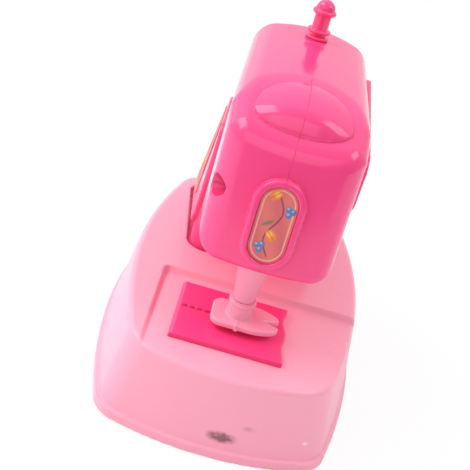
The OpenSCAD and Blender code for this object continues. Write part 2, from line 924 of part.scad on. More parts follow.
// The foot from above: a round back, two toes and a notch between them
function foot_points() =
    let (
        w = foot_w/2,
        n = toe_notch_w/2,
        apex = -foot_front*(1 - toe_notch_share),
        toe_start = foot_front*toe_start_share)
    rounded(
        [[-w, foot_back], [-w, -toe_start], [-2*n, -foot_front], [-n, -foot_front], [0, apex], [n, -foot_front],
            [2*n, -foot_front], [w, -toe_start], [w, foot_back]],
        [foot_corner_r, foot_corner_r, toe_r/2, toe_r/2, 0, toe_r/2, toe_r/2, foot_corner_r, foot_corner_r]);
module needle_guide() {
    flange_z = arm_bottom_z + arm_wall;
    color(light_pink)
        translate([needle_x, needle_y, 0])
            difference() {
                union() {
                    rod_z(arm_bottom_z, flange_z + guide_flange_t, guide_d);
                    rod_z(flange_z, flange_z + guide_flange_t, guide_d + guide_flange);
                }
                rod_z(arm_bottom_z - cut, arm_top_z, bar_d + 2*slide_gap);
            }
}

// Crank drive

module yoke() {
    slot_z = shaft_z - crank_r;
    top_z = slot_z + slot_h/2 + yoke_web;
    color(nylon_white)
        translate([0, needle_y, 0]) {
            difference() {
                translate([yoke_x - yoke_t/2, -yoke_half, bar_top_z])
                    cube([yoke_t, 2*yoke_half, top_z - bar_top_z]);
                translate([yoke_x - yoke_t, -slot_half, slot_z - slot_h/2])
                    cube([2*yoke_t, 2*slot_half, slot_h]);
            }
            translate([yoke_x, 0, 0])
                rod_z(bar_top_z - yoke_tenon_l, bar_top_z + bite, yoke_tenon_d);
        }
}
module on_shaft() {
    translate([0, needle_y, shaft_z])
        children();
}
module crank_disc() {
    color(nylon_white)
        on_shaft()
            difference() {
                rod_x(disc_near_x, disc_far_x, disc_d);
                rod_x(disc_floor_x, disc_far_x + cut, shaft_d);
                translate([0, 0, -crank_r])
                    rod_x(disc_near_x - cut, disc_floor_x - seat_gap, pin_d);
            }
}
module crank_pin() {
    color(steel_grey)
        on_shaft()
            translate([0, 0, -crank_r])
                rod_x(pin_near_x, disc_floor_x - seat_gap, pin_d);
}
module main_shaft() {
    color(steel_grey)
        on_shaft()
            difference() {
                rod_x(disc_floor_x, wheel_far_x - wheel_web_t, shaft_d);
                rod_x(wheel_far_x - wheel_web_t - wheel_screw_l, wheel_far_x, wheel_screw_d);
            }
}
module bush(x) {
    on_shaft()
        difference() {
            rod_x(x, x + bush_l, bush_d);
            rod_x(x - cut, x + bush_l + cut, shaft_d + 2*run_gap);
        }
}
module washer(x) {
    on_shaft()
        difference() {
            rod_x(x, x + washer_t, washer_d);
            rod_x(x - cut, x + washer_t + cut, shaft_d + 2*run_gap);
        }
}
module front_bush() {
    color(nylon_white)
        bush(front_bush_x);
}
module rear_bush() {
    color(nylon_white)
        bush(rear_bush_x);
}
module front_washer() {
    color(steel_grey)
        washer(disc_far_x);
}
module rear_washer() {
    color(steel_grey)
        washer(wheel_near_x - washer_t);
}
module hand_wheel() {
    r = wheel_d/2;
    color(light_pink)
        on_shaft()
            difference() {
                rod_x(wheel_near_x, wheel_far_x, wheel_d);
                difference() {
                    rod_x(wheel_near_x + wheel_web_t, wheel_far_x + cut, wheel_d - 2*wheel_rim_t);
                    rod_x(wheel_near_x, wheel_far_x - wheel_web_t, wheel_hub_d);
                }
                rod_x(wheel_near_x - cut, wheel_far_x + cut, shaft_d);
                for (k = [0:wheel_dips - 1])
                    rotate([k*360/wheel_dips, 0, 0])
                        translate([0, 0, r + wheel_dip_d/2 - wheel_dip_depth])
                            rod_x(wheel_near_x - cut, wheel_far_x + cut, wheel_dip_d);
            }
}
module wheel_screw() {
    x = wheel_far_x - wheel_web_t;
    color(steel_grey)
        on_shaft() {
            rod_x(x, x + screw_head_t, wheel_screw_head_d);
            rod_x(x - wheel_screw_l + seat_gap, x + bite, wheel_screw_d);
        }
}

bed_shell();
bed_cover();
bed_screws();
cloth_plate();
arm_front_shell();
arm_back_shell();
arm_screws();
column_screws();
spool_pin();
end_label();
front_label();
back_label();
needle_bar();
presser_foot();
needle_guide();
yoke();
main_shaft();
crank_disc();
crank_pin();
front_bush();
rear_bush();
front_washer();
rear_washer();
hand_wheel();
wheel_screw();
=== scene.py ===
import functools
import math

import bpy
import numpy as np
from mathutils import Matrix, Vector


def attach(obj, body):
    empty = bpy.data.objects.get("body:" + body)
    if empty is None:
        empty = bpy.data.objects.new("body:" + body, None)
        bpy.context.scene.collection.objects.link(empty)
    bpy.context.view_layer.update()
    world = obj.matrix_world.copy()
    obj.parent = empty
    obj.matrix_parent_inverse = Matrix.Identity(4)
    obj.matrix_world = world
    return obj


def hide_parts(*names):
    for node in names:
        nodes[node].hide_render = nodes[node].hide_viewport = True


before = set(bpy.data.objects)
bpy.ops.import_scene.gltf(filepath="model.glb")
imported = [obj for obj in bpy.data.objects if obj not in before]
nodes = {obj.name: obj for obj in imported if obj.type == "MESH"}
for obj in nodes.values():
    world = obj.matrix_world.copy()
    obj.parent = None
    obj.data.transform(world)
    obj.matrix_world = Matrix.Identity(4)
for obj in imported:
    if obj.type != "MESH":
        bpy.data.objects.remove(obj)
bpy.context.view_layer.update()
MM = 0.001

# Sizes in millimetres, repeated from the part's source. The bed's top edge, the frame's height, the wells'
# width and the cone's foot are fitted closer to the photograph here.
BED_L, BED_W, BED_NEAR_W, BED_FAR_W, BED_H = 120.0, 81.0, 64.5, 66.0, 27.5
NEAR_BOW, FAR_BOW, BED_CORNER = 6.0, 5.0, 4.5
SIDE_DRAFT, END_DRAFT, BED_EDGE = 5.0, 2.5, 1.8
LIP_H, LIP_OUT, BED_WALL, BED_TOP, COVER_T = 3.0, 0.9, 2.2, 2.0, 2.0
WORK_Z, WORK_STEP_X, WORK_RIM_Y, RIM_FALL = 25.5, -13.6, 24.6, 1.8
SOCKET_Z, SOCKET_GAP = 25.0, 0.7
CLOTH_X, CLOTH_Y, CLOTH_L, CLOTH_W, CLOTH_T, CLOTH_WAVE = -32.7, 2.2, 27.4, 32.3, 1.7, 1.1
CLOTH_TOP = WORK_Z + CLOTH_T
ARM_HALF, ARM_TOP, ARM_LOW, ARM_NEAR, ARM_FAR = 19.0, 95.5, 50.5, -45.0, 44.0
ARM_WALL, ARM_CROWN, FACE_BOW = 2.0, 4.0, 3.0
CREASE_X, LEDGE_X, LEDGE_Z = -16.5, -39.5, 85.5
COL_NEAR, COL_FAR, COL_NEAR_W, COL_FAR_W, COL_TOP = 1.5, 46.5, 40.5, 51.0, 68.5
COL_FLOOR, COL_CORNER, COL_OVER = 2.2, 5.0, 2.0
PANEL_T, LABEL_T, LABEL_INSET = 1.6, 0.25, 3.5
FRAME_W, FRAME_H, FRAME_Z, FRAME_OUT, FRAME_RIM, FRAME_FLOOR = 14.0, 25.0, 65.0, 1.5, 1.9, 0.5
NEEDLE_X, NEEDLE_Y, BAR_D, STEM_D, NECK_D = -34.0, 0.8, 9.0, 5.0, 6.1
FOOT_LOW, FOOT_T, FOOT_BACK, FOOT_FRONT, FOOT_W = 29.0, 1.8, 7.7, 11.9, 12.4
COLLAR_D, COLLAR_H = 7.2, 5.4
FOOT_TOP = FOOT_LOW + FOOT_T
COLLAR_TOP = FOOT_TOP + COLLAR_H
HAIR = 0.02
CONE_LOW = COLLAR_TOP + HAIR
CONE_RISE = 11.7
CONE_TOP = COLLAR_TOP + CONE_RISE
BAR_TOP = 59.0
SHAFT_Z, SHAFT_D = 70.0, 4.0
WHEEL_D, WHEEL_NEAR, WHEEL_FAR, WHEEL_DIPS = 30.0, 45.2, 54.2, 14
SPOOL_X, SPOOL_D, SPOOL_HEAD_D, SPOOL_H = 28.5, 5.1, 7.4, 12.2
WELLS = ((-36.8, 68.9), (-8.5, 83.0), (36.5, 82.0), (35.5, 44.0))
WELL_D, WELL_SEAT = 5.9, 10.1
SCREW_D, SCREW_HEAD_D, SCREW_HEAD_T = 2.6, 5.4, 1.2
LEAN = math.atan2(LEDGE_X - ARM_NEAR, LEDGE_Z - ARM_LOW)
FALL = math.atan2(ARM_TOP - LEDGE_Z, CREASE_X - LEDGE_X)


# Fields: negative inside, in millimetres

def most(*fields):
    return functools.reduce(np.maximum, fields)


def least(*fields):
    return functools.reduce(np.minimum, fields)


def meet(r, *fields):
    """What all the fields share, with its edges rounded by r."""
    total = sum(np.maximum(f + r, 0.0)**2 for f in fields)
    return np.minimum(most(*fields), -r) + np.sqrt(total)


def join(r, *fields):
    """All the fields together, with a fillet of r where they meet."""
    return -meet(r, *[-f for f in fields])


def cut(r, field, tool):
    """The field without the tool, with the new edges rounded by r."""
    return meet(r, field, -tool)


def ease(low, high, value):
    t = np.clip((value - low)/(high - low), 0.0, 1.0)
    return t*t*(3.0 - 2.0*t)


def rod(a, b, a0, b0, d):
    """A round rod along the third axis."""
    return np.hypot(a - a0, b - b0) - d/2


def spaced(low, high, step):
    return np.linspace(low, high, int(round((high - low)/step)) + 1)


def lines(*stretches):
    """Grid lines through stretches given as an end and a step, after the first line."""
    at = [np.array([stretches[0]])]
    for end, step in stretches[1:]:
        at.append(spaced(at[-1][-1], end, step)[1:])
    return np.concatenate(at)


PROBE, PULLS, PULL_SHARE, LEAST_SLOPE, TINY = 0.01, 5, 0.35, 1e-6, 1e-9


def slope_of(field, p):
    grads = []
    for axis in range(3):
        d = np.zeros(3)
        d[axis] = PROBE
        up, down = p + d, p - d
        grads.append((field(*up.T) - field(*down.T))/(2*PROBE))
    return np.stack(grads, axis=1)


CORNERS = [(i, j, k) for i in (0, 1) for j in (0, 1) for k in (0, 1)]
EDGES = [(a, b) for a in CORNERS for b in CORNERS
         if sum(b) - sum(a) == 1 and all(q >= p for p, q in zip(a, b))]


def skin(field, xs, ys, zs):
    """Points, faces and normals round the field's inside: one point in each grid cell that the surface
    crosses, pulled onto it."""
    shape = (len(xs), len(ys), len(zs))
    grid = np.broadcast_to(field(xs[:, None, None], ys[None, :, None], zs[None, None, :]), shape)
    inside = grid < 0
    count = np.zeros([n - 1 for n in shape], np.int8)
    for c in CORNERS:
        count += inside[tuple(slice(o, o + n - 1) for o, n in zip(c, shape))]
    cells = np.argwhere((count > 0) & (count < 8))
    number = np.full(count.shape, -1, np.int64)
    number[tuple(cells.T)] = np.arange(len(cells))
    axes = (xs, ys, zs)
    total, hits = np.zeros((len(cells), 3)), np.zeros(len(cells))
    for a, b in EDGES:
        ia, ib = cells + np.array(a), cells + np.array(b)
        fa, fb = grid[tuple(ia.T)], grid[tuple(ib.T)]
        hit = (fa < 0) != (fb < 0)
        t = np.where(hit, fa/np.where(hit, fa - fb, 1.0), 0.0)
        pa = np.stack([axes[n][ia[:, n]] for n in range(3)], axis=1)
        pb = np.stack([axes[n][ib[:, n]] for n in range(3)], axis=1)
        total += np.where(hit, 1.0, 0.0)[:, None]*(pa + t[:, None]*(pb - pa))
        hits += hit
    points = total/hits[:, None]
    room = np.stack([np.diff(axes[n])[cells[:, n]] for n in range(3)], axis=1).max(axis=1)*PULL_SHARE
    for _ in range(PULLS):
        value, grad = field(*points.T), slope_of(field, points)
        size = np.maximum((grad**2).sum(axis=1), LEAST_SLOPE)
        move = value/size
        length = np.abs(move)*np.sqrt(size)
        move *= np.minimum(1.0, room/np.maximum(length, TINY))
        points = points - move[:, None]*grad
    quads = []
    for axis in range(3):
        u, v = (axis + 1) % 3, (axis + 2) % 3
        near = [slice(None)]*3
        far = [slice(None)]*3
        near[axis], far[axis] = slice(0, -1), slice(1, None)
        for s in (near, far):
            s[u] = slice(1, -1)
            s[v] = slice(1, -1)
        first, second = inside[tuple(near)], inside[tuple(far)]
        at = np.argwhere(first != second)
        flip = ~first[tuple(at.T)]
        at[:, u] += 1
        at[:, v] += 1
        ring = []
        for du, dv in ((-1, -1), (0, -1), (0, 0), (-1, 0)):
            cell = at.copy()
            cell[:, u] += du
            cell[:, v] += dv
            ring.append(number[tuple(cell.T)])
        ring = np.stack(ring, axis=1)
        ring[flip] = ring[flip][:, ::-1]
        quads.append(ring)
    normals = slope_of(field, points)
    normals /= np.maximum(np.linalg.norm(normals, axis=1), TINY)[:, None]
    return points, np.concatenate(quads), normals


def piece_of(name, points, quads, normals=None):
    mesh = bpy.data.meshes.new(name)
    mesh.from_pydata((points*MM).tolist(), [], quads.tolist())
    if normals is not None:
        mesh.polygons.foreach_set("use_smooth", np.ones(len(quads), bool))
        mesh.normals_split_custom_set_from_vertices(normals.tolist())
    mesh.update()
    piece = bpy.data.objects.new(name, mesh)
    bpy.context.scene.collection.objects.link(piece)
    return piece


def solid(name, field, xs, ys, zs):
    return piece_of(name, *skin(field, xs, ys, zs))


def copies(name, shape, moves):
    """The same shape in several places, each a turn and a shift."""
    points, quads, normals = shape
    return piece_of(
        name, np.concatenate([points @ turn.T + shift for turn, shift in moves]),
        np.concatenate([quads + k*len(points) for k in range(len(moves))]),
        np.concatenate([normals @ turn.T for turn, shift in moves]))


def place(piece, body, material, node):
    """Put a piece on its body in place of a CAD node."""
    piece.data.materials.clear()
    piece.data.materials.append(material)
    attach(piece, body)
    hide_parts(node)


# Materials

class Nodes:
    """A short way to write shader nodes."""

    def __init__(self, name):
        self.material = bpy.data.materials.new(name)
        self.material.use_nodes = True
        self.tree = self.material.node_tree
        self.shader = self.tree.nodes["Principled BSDF"]
        self.spot = self.node("ShaderNodeTexCoord").outputs["Object"]

    def node(self, kind, **settings):
        n = self.tree.nodes.new(kind)
        for key, value in settings.items():
            setattr(n, key, value)
        return n

    def feed(self, target, value):
        if isinstance(value, bpy.types.NodeSocket):
            self.tree.links.new(value, target)
        else:
            target.default_value = value

    def math(self, operation, a, b):
        n = self.node("ShaderNodeMath", operation=operation)
        for socket, value in zip(n.inputs, (a, b)):
            self.feed(socket, value)
        return n.outputs[0]

    def noise(self, scale, detail=3.0, rough=0.5, spot=None):
        n = self.node("ShaderNodeTexNoise")
        self.feed(n.inputs["Vector"], spot or self.spot)
        n.inputs["Scale"].default_value = scale
        n.inputs["Detail"].default_value = detail
        n.inputs["Roughness"].default_value = rough
        return n.outputs["Fac"]

    def span(self, value, low, high, to_low, to_high):
        n = self.node("ShaderNodeMapRange")
        self.feed(n.inputs["Value"], value)
        for key, number in (("From Min", low), ("From Max", high), ("To Min", to_low), ("To Max", to_high)):
            n.inputs[key].default_value = number
        return n.outputs["Result"]

    def mix(self, share, a, b):
        n = self.node("ShaderNodeMix", data_type="RGBA")
        self.feed(n.inputs["Factor"], share)
        self.feed(n.inputs["A"], a)
        self.feed(n.inputs["B"], b)
        return n.outputs["Result"]

    def near(self, point, reach):
        """One at a point, falling to zero at the reach; both in metres, the reach on each axis."""
        shift = self.node("ShaderNodeVectorMath", operation="SUBTRACT")
        self.feed(shift.inputs[0], self.spot)
        shift.inputs[1].default_value = point
        scale = self.node("ShaderNodeVectorMath", operation="DIVIDE")
        self.feed(scale.inputs[0], shift.outputs[0])
        scale.inputs[1].default_value = reach
        length = self.node("ShaderNodeVectorMath", operation="LENGTH")
        self.feed(length.inputs[0], scale.outputs[0])
        return self.span(length.outputs["Value"], 0.0, 1.0, 1.0, 0.0)

    def bump(self, height, strength):
        n = self.node("ShaderNodeBump")
        n.inputs["Strength"].default_value = strength
        n.inputs["Distance"].default_value = BUMP_DEPTH
        self.feed(n.inputs["Height"], height)
        self.feed(self.shader.inputs["Normal"], n.outputs["Normal"])


def linear(screen):
    """Light for values as they show on a screen, from 0 to 255."""
    v = np.asarray(screen)/255.0
    return np.where(v <= 0.04045, v/12.92, ((v + 0.055)/1.055)**2.4)


def rgb(r, g, b):
    """A colour written as it shows on a screen, from 0 to 255."""
    return (*linear((r, g, b)).tolist(), 1.0)


BUMP_DEPTH = 0.0001
CLOUD_SCALE, FLOW_SCALE, GLOSS_SCALE, PEEL_SCALE = 38.0, 700.0, 60.0, 420.0
CLOUD_SHARE, FLOW_SHARE, GLOSS_SPREAD, PLASTIC_IOR = 0.3, 0.08, 0.006, 1.5


def plastic(name, base, deep, rough, grain):
    """Moulded plastic: faint clouds of pigment, slightly uneven gloss and a trace of orange peel."""
    n = Nodes(name)
    cloud = n.span(n.noise(CLOUD_SCALE, 3.0, 0.5), 0.2, 0.8, 0.0, CLOUD_SHARE)
    colour = n.mix(cloud, base, deep)
    flow = n.noise(FLOW_SCALE, 2.0, 0.4)
    colour = n.mix(n.span(flow, 0.3, 0.75, 0.0, FLOW_SHARE), colour, deep)
    n.colour = colour
    n.feed(n.shader.inputs["Base Color"], colour)
    gloss = n.span(n.noise(GLOSS_SCALE, 2.0, 0.5), 0.2, 0.8, rough - GLOSS_SPREAD, rough + GLOSS_SPREAD)
    n.feed(n.shader.inputs["Roughness"], gloss)
    n.bump(n.noise(PEEL_SCALE, 1.0, 0.4), grain)
    n.shader.inputs["IOR"].default_value = PLASTIC_IOR
    return n


BRUSH_SCALE, BRUSH_STRETCH = 1800.0, (1.0, 1.0, 6.0)


def metal(name, base, streak):
    """Brushed metal: fine streaks in colour and gloss."""
    n = Nodes(name)
    stretch = n.node("ShaderNodeMapping")
    n.feed(stretch.inputs["Vector"], n.spot)
    stretch.inputs["Scale"].default_value = BRUSH_STRETCH
    brush = n.noise(BRUSH_SCALE, 3.0, 0.6, stretch.outputs["Vector"])
    n.feed(n.shader.inputs["Base Color"], n.mix(n.span(brush, 0.3, 0.7, 0.0, 0.4), base, streak))
    n.feed(n.shader.inputs["Roughness"], n.span(brush, 0.3, 0.7, 0.25, 0.45))
    n.shader.inputs["Metallic"].default_value = 1.0
    n.bump(brush, 0.05)
    return n


hot = plastic("hot_pink_plastic", rgb(251, 74, 138), rgb(246, 62, 126), 0.13, 0.05).material

# Painted shade: the cloth plate's colour is darkened at its moulded stitches, where the ribs' shade falls
STITCHES, STITCH_STEP, STITCH_OFF, STITCH_IN = 5, 2.2, 2.2, 2.075
STITCH_FIRST = CLOTH_Y + CLOTH_W/2 - STITCH_IN
STITCH_SHADE_REACH, STITCH_SHADE_STRENGTH, STITCH_SHADE_COVER = (0.0009, 0.0013, 0.002), 2.2, 0.75
cloth_nodes = plastic("cloth_pink_plastic", rgb(253, 66, 134), rgb(248, 56, 122), 0.3, 0.12)
stitch_shaded_colour = cloth_nodes.colour
for k in range(STITCHES):
    spot = ((NEEDLE_X + STITCH_OFF)*MM, (STITCH_FIRST - STITCH_STEP*k)*MM, CLOTH_TOP*MM)
    cover = cloth_nodes.math("MULTIPLY", cloth_nodes.near(spot, STITCH_SHADE_REACH), STITCH_SHADE_STRENGTH)
    cover = cloth_nodes.math("MINIMUM", cover, STITCH_SHADE_COVER)
    # Painted shade: a deep red tint laid over each stitch
    stitch_shaded_colour = cloth_nodes.mix(cover, stitch_shaded_colour, rgb(186, 22, 84))
cloth_nodes.feed(cloth_nodes.shader.inputs["Base Color"], stitch_shaded_colour)
cloth_pink = cloth_nodes.material

light = plastic("light_pink_plastic", rgb(252, 165, 190), rgb(249, 156, 183), 0.26, 0.1).material
nylon = plastic("nylon", rgb(238, 235, 226), rgb(228, 224, 212), 0.42, 0.2).material
steel = metal("steel", rgb(196, 198, 202), rgb(120, 120, 124)).material
# Painted shade: the arm screws' steel is coloured dark red, for the shade deep in their wells
steel_in_painted_shade = metal("painted_shade_steel", rgb(42, 16, 22), rgb(54, 22, 30)).material

# The bed's plastic carries a brown scuff with a fainter smear beside it and a pale nick, low on its near wall
SCUFF, SCUFF_REACH = (-0.0586, -0.0033, 0.0072), (0.004, 0.0049, 0.0022)
SMEAR, SMEAR_REACH = (-0.0578, -0.0101, 0.0116), (0.004, 0.0026, 0.0011)
NICK, NICK_REACH = (-0.0545, -0.0262, 0.0091), (0.004, 0.0009, 0.0007)
bed_nodes = plastic("bed_pink_plastic", rgb(252, 166, 190), rgb(249, 159, 184), 0.27, 0.04)
RAGGED_SCALE, MARK_COVER = 420.0, 0.9
ragged = bed_nodes.span(bed_nodes.noise(RAGGED_SCALE, 5.0, 0.6), 0.3, 0.56, 0.1, 1.0)
marked = bed_nodes.colour
for spot, reach, strength, tint, torn in (
        (SCUFF, SCUFF_REACH, 1.9, rgb(132, 72, 78), True),
        (SMEAR, SMEAR_REACH, 0.6, rgb(176, 104, 118), True),
        (NICK, NICK_REACH, 1.6, rgb(252, 214, 222), False)):
    cover = bed_nodes.math("MULTIPLY", bed_nodes.near(spot, reach), strength)
    if torn:
        cover = bed_nodes.math("MULTIPLY", cover, ragged)
    marked = bed_nodes.mix(bed_nodes.math("MINIMUM", cover, MARK_COVER), marked, tint)
bed_nodes.feed(bed_nodes.shader.inputs["Base Color"], marked)
bed_pink = bed_nodes.material


# Bed

WORK_CORNER, WORK_EASE, LIP_R, LIP_FILLET, BED_FOOT_R, HOLLOW_R, SOCKET_R = 1.5, 0.8, 0.7, 0.5, 0.3, 0.25, 0.5


def bed_half(u):
    """Half the bed's width at a share of its length: a parabola through three widths."""
    return (BED_NEAR_W*(1 - u)*(1 - 2*u) + BED_W*4*u*(1 - u) + BED_FAR_W*u*(2*u - 1))/2


def bed_outline(x, y, side_in, end_in):
    x0 = -BED_L/2 + NEAR_BOW + end_in
    x1 = BED_L/2 - FAR_BOW - end_in
    side = np.abs(y) - (bed_half((x - x0)/(x1 - x0)) - side_in)
    near = x0 - NEAR_BOW*(1 - (y/(bed_half(0.0) - side_in))**2) - x
    far = x - x1 - FAR_BOW*(1 - (y/(bed_half(1.0) - side_in))**2)
    return meet(BED_CORNER, side, near, far)


def column_foot(x, gap):
    u = (x - COL_NEAR)/(COL_FAR - COL_NEAR)
    return (COL_NEAR_W + u*(COL_FAR_W - COL_NEAR_W))/2 + gap


def bed_top(x, y):
    """Height of the bed's top: the plateau, the falling rim and the sunk work area."""
    rim = BED_H - RIM_FALL*np.clip((WORK_STEP_X - x)/(BED_L/2 + WORK_STEP_X), 0.0, 1.0)
    edge = meet(WORK_CORNER, x - WORK_STEP_X, y - WORK_RIM_Y)
    return WORK_Z + (rim - WORK_Z)*ease(-WORK_EASE, WORK_EASE, edge)


def bed_field(x, y, z):
    up = (z - LIP_H)/(BED_H - LIP_H)
    wall = bed_outline(x, y, LIP_OUT + (SIDE_DRAFT - LIP_OUT)*up, LIP_OUT + (END_DRAFT - LIP_OUT)*up)
    body = meet(BED_EDGE, wall, z - bed_top(x, y))
    lip = meet(LIP_R, bed_outline(x, y, 0.0, 0.0), z - LIP_H)
    outer = meet(BED_FOOT_R, join(LIP_FILLET, body, lip), -z)
    socket = most(meet(COL_CORNER + SOCKET_GAP, np.abs(y) - column_foot(x, SOCKET_GAP),
                       COL_NEAR - SOCKET_GAP - x, x - COL_FAR - SOCKET_GAP), SOCKET_Z - z)
    rise = np.clip((z - COVER_T)/(WORK_Z - BED_TOP - COVER_T), 0.0, 1.0)
    first = LIP_OUT + BED_WALL
    hollow = most(bed_outline(x, y, first + (SIDE_DRAFT - LIP_OUT)*rise, first + (END_DRAFT - LIP_OUT)*rise),
                  z - WORK_Z + BED_TOP)
    return cut(HOLLOW_R, cut(SOCKET_R, outer, socket), hollow)


BED_GRID = (spaced(-60.6, 60.6, 0.5), spaced(-41.1, 41.1, 0.5), spaced(-0.6, 28.2, 0.35))
bed = solid("bed_shell_moulding", bed_field, *BED_GRID)
place(bed, "machine", bed_pink, "bed_shell")


# Cloth plate with its rolled edge, bays and stitches

CLOTH_ROLL, CLOTH_EDGE_R, STITCH_HALF, STITCH_R, STITCH_FILLET = 1.2, 0.35, 0.4, 0.45, 0.06
BAYS, BAY_FIRST_SHARE = 2, 0.4


def cloth_field(x, y, z):
    u = np.clip((x - CLOTH_X + CLOTH_L/2)/CLOTH_L, 0.0, 1.0)
    bay = CLOTH_WAVE*(BAY_FIRST_SHARE + (1 - BAY_FIRST_SHARE)*u)*(1 - np.cos(2*BAYS*np.pi*u))/2
    low = CLOTH_Y - CLOTH_W/2 + bay - y
    ends = np.abs(x - CLOTH_X) - CLOTH_L/2
    rolled = meet(CLOTH_ROLL, y - CLOTH_Y - CLOTH_W/2, z - CLOTH_TOP)
    plate = most(meet(CLOTH_EDGE_R, low, ends, rolled), WORK_Z - z)
    stitches = []
    for k in range(STITCHES):
        middle = STITCH_FIRST - STITCH_STEP*k
        along = np.maximum(np.abs(y - middle) - STITCH_HALF, 0.0)
        reach = np.sqrt(along**2 + (x - NEEDLE_X - STITCH_OFF)**2 + (z - CLOTH_TOP)**2)
        stitches.append(reach - STITCH_R)
    return join(STITCH_FILLET, plate, least(*stitches))


CLOTH_GRID = (spaced(-47.0, -18.4, 0.26), spaced(-14.6, 19.0, 0.26), spaced(25.3, 28.0, 0.15))
cloth = solid("cloth_plate_moulding", cloth_field, *CLOTH_GRID)
place(cloth, "machine", cloth_pink, "cloth_plate")


# Arm and column in two halves

CREASE_R, FAR_TOP_R, LEDGE_R, ARM_LOW_R, ARM_SIDE_R = 2.5, 5.5, 3.6, 3.0, 5.6
NOSE_IN, NOSE_X, NOSE_L = 1.6, -24.0, 20.0
COL_LEAN_SHARE = 0.98


def arm_form(x, y, z):
    """The arm without its column; the back half narrows toward the needle end."""
    w2 = (y/ARM_HALF)**2
    half = ARM_HALF - np.where(y > 0, NOSE_IN*np.clip((NOSE_X - x)/NOSE_L, 0.0, 1.0), 0.0)
    near = (ARM_NEAR + (z - ARM_LOW)*math.tan(LEAN) + FACE_BOW*w2 - x)*math.cos(LEAN)
    slope = ((z - LEDGE_Z) - (x - LEDGE_X)*math.tan(FALL))*math.cos(FALL)
    top = z - ARM_TOP + ARM_CROWN*w2
    side_view = meet(FAR_TOP_R, meet(CREASE_R, top, slope), x - ARM_FAR)
    side_view = meet(ARM_LOW_R, meet(LEDGE_R, side_view, near), ARM_LOW - z)
    return meet(ARM_SIDE_R, side_view, np.abs(y) - half)


def column_form(x, y, z, out=0.0):
    """The column, grown by out."""
    up = np.clip((z - SOCKET_Z)/(COL_TOP - SOCKET_Z), 0.0, 1.0)
    foot = column_foot(x, 0.0)
    side = (np.abs(y) - foot - up*(ARM_HALF - foot) - out)*COL_LEAN_SHARE
    far = x - COL_FAR + up*(COL_FAR - ARM_FAR) - out
    body = meet(COL_CORNER + out, side, COL_NEAR - out - x, far)
    return most(body, z - COL_TOP - COL_OVER)


def on_face(x, z):
    """Distance up the needle-end face from the frame's middle, and out of the face."""
    dx = x - ARM_NEAR - (FRAME_Z - ARM_LOW)*math.tan(LEAN)
    dz = z - FRAME_Z
    return dx*math.sin(LEAN) + dz*math.cos(LEAN), -dx*math.cos(LEAN) + dz*math.sin(LEAN)


def pill(y, t, w, h):
    """A round-ended outline on the needle-end face."""
    return np.hypot(y, np.maximum(np.abs(t) - (h - w)/2, 0.0)) - w/2


DOME_HALF_W, DOME_UP, DOME_DOWN, DOME_RISE, DOME_STEP = 13.2, 13.4, 6.2, 3.6, 0.6
DOME_RUN_SHARE, DOME_R, DOME_FILLET, DOME_ROOT, DOME_LEAST = 0.413, 0.3, 0.2, 1.5, 0.02


def dome_form(x, y, z):
    """A half-moon bump on the slope, with a low step round it."""
    run = DOME_RUN_SHARE*(CREASE_X - LEDGE_X)
    dx, dz = x - LEDGE_X - run, z - LEDGE_Z - run*math.tan(FALL)
    along = dx*math.cos(FALL) + dz*math.sin(FALL)
    out = -dx*math.sin(FALL) + dz*math.cos(FALL)
    reach = np.where(along > 0, DOME_UP, DOME_DOWN)
    ring = np.sqrt((along/reach)**2 + (y/DOME_HALF_W)**2)
    tilt = np.hypot(along/reach**2, y/DOME_HALF_W**2)
    cap = (out - DOME_STEP - DOME_RISE*(1 - ring**2))/np.sqrt(1 + (2*DOME_RISE*tilt)**2)
    edge = (ring - 1)*ring/np.maximum(tilt, DOME_LEAST)
    return most(meet(DOME_R, cap, edge), -out - DOME_ROOT)


PANEL_CORNER, PANEL_ROOT, PANEL_R, PANEL_FILLET = 5.0, 2.0, 0.6, 0.3
FRONT_NEAR, FRONT_FAR, FRONT_LOW, FRONT_NEAR_TOP, FRONT_RISE = -27.5, 32.0, 66.0, 82.5, 5.5
BACK_NEAR, BACK_FAR, BACK_LOW, BACK_TOP = 4.5, 37.0, 33.0, 68.0


def front_panel(x, z, inset):
    lean = math.atan2(FRONT_RISE, FRONT_FAR - FRONT_NEAR)
    high = (z - FRONT_NEAR_TOP + inset - (x - FRONT_NEAR)*math.tan(lean))*math.cos(lean)
    return meet(PANEL_CORNER - inset, FRONT_NEAR + inset - x, x - FRONT_FAR + inset, FRONT_LOW + inset - z,
                high)


def back_panel(x, z, inset, near_in):
    return meet(PANEL_CORNER - inset, BACK_NEAR + near_in - x, x - BACK_FAR + inset, BACK_LOW + inset - z,
                z - BACK_TOP + inset)


COL_FILLET, RIM_R, RIM_FILLET, RIM_ROOT, POCKET_R = 1.5, 0.9, 0.15, 3.0, 0.3


def arm_outer(x, y, z):
    t, out = on_face(x, z)
    body = join(COL_FILLET, arm_form(x, y, z), column_form(x, y, z))
    body = join(DOME_FILLET, body, dome_form(x, y, z))
    rim = meet(RIM_R, pill(y, t, FRAME_W, FRAME_H), out - FRAME_OUT)
    body = join(RIM_FILLET, body, most(rim, -out - RIM_ROOT))
    pocket = most(pill(y, t, FRAME_W - 2*FRAME_RIM, FRAME_H - 2*FRAME_RIM), FRAME_FLOOR - out)
    body = cut(POCKET_R, body, pocket)
    front = meet(PANEL_R, front_panel(x, z, 0.0), -y - ARM_HALF - PANEL_T)
    front = most(front, y + ARM_HALF - PANEL_ROOT)
    back = meet(PANEL_R, back_panel(x, z, 0.0, 0.0), column_form(x, y, z, PANEL_T))
    back = most(back, ARM_HALF - PANEL_ROOT - y)
    return join(PANEL_FILLET, body, front, back)


WELL_WALL, WELL_SEAT_T, WELL_R, SHELL_R, HOLE_R = 1.4, 1.6, 0.45, 0.3, 0.2
GUIDE_D, GUIDE_OVER, BUSH_HOLE_D, BUSH_DEEP, POST_HOLE_D, POST_DEEP = 11.75, 1.0, 8.15, 4.0, 4.2, 5.0


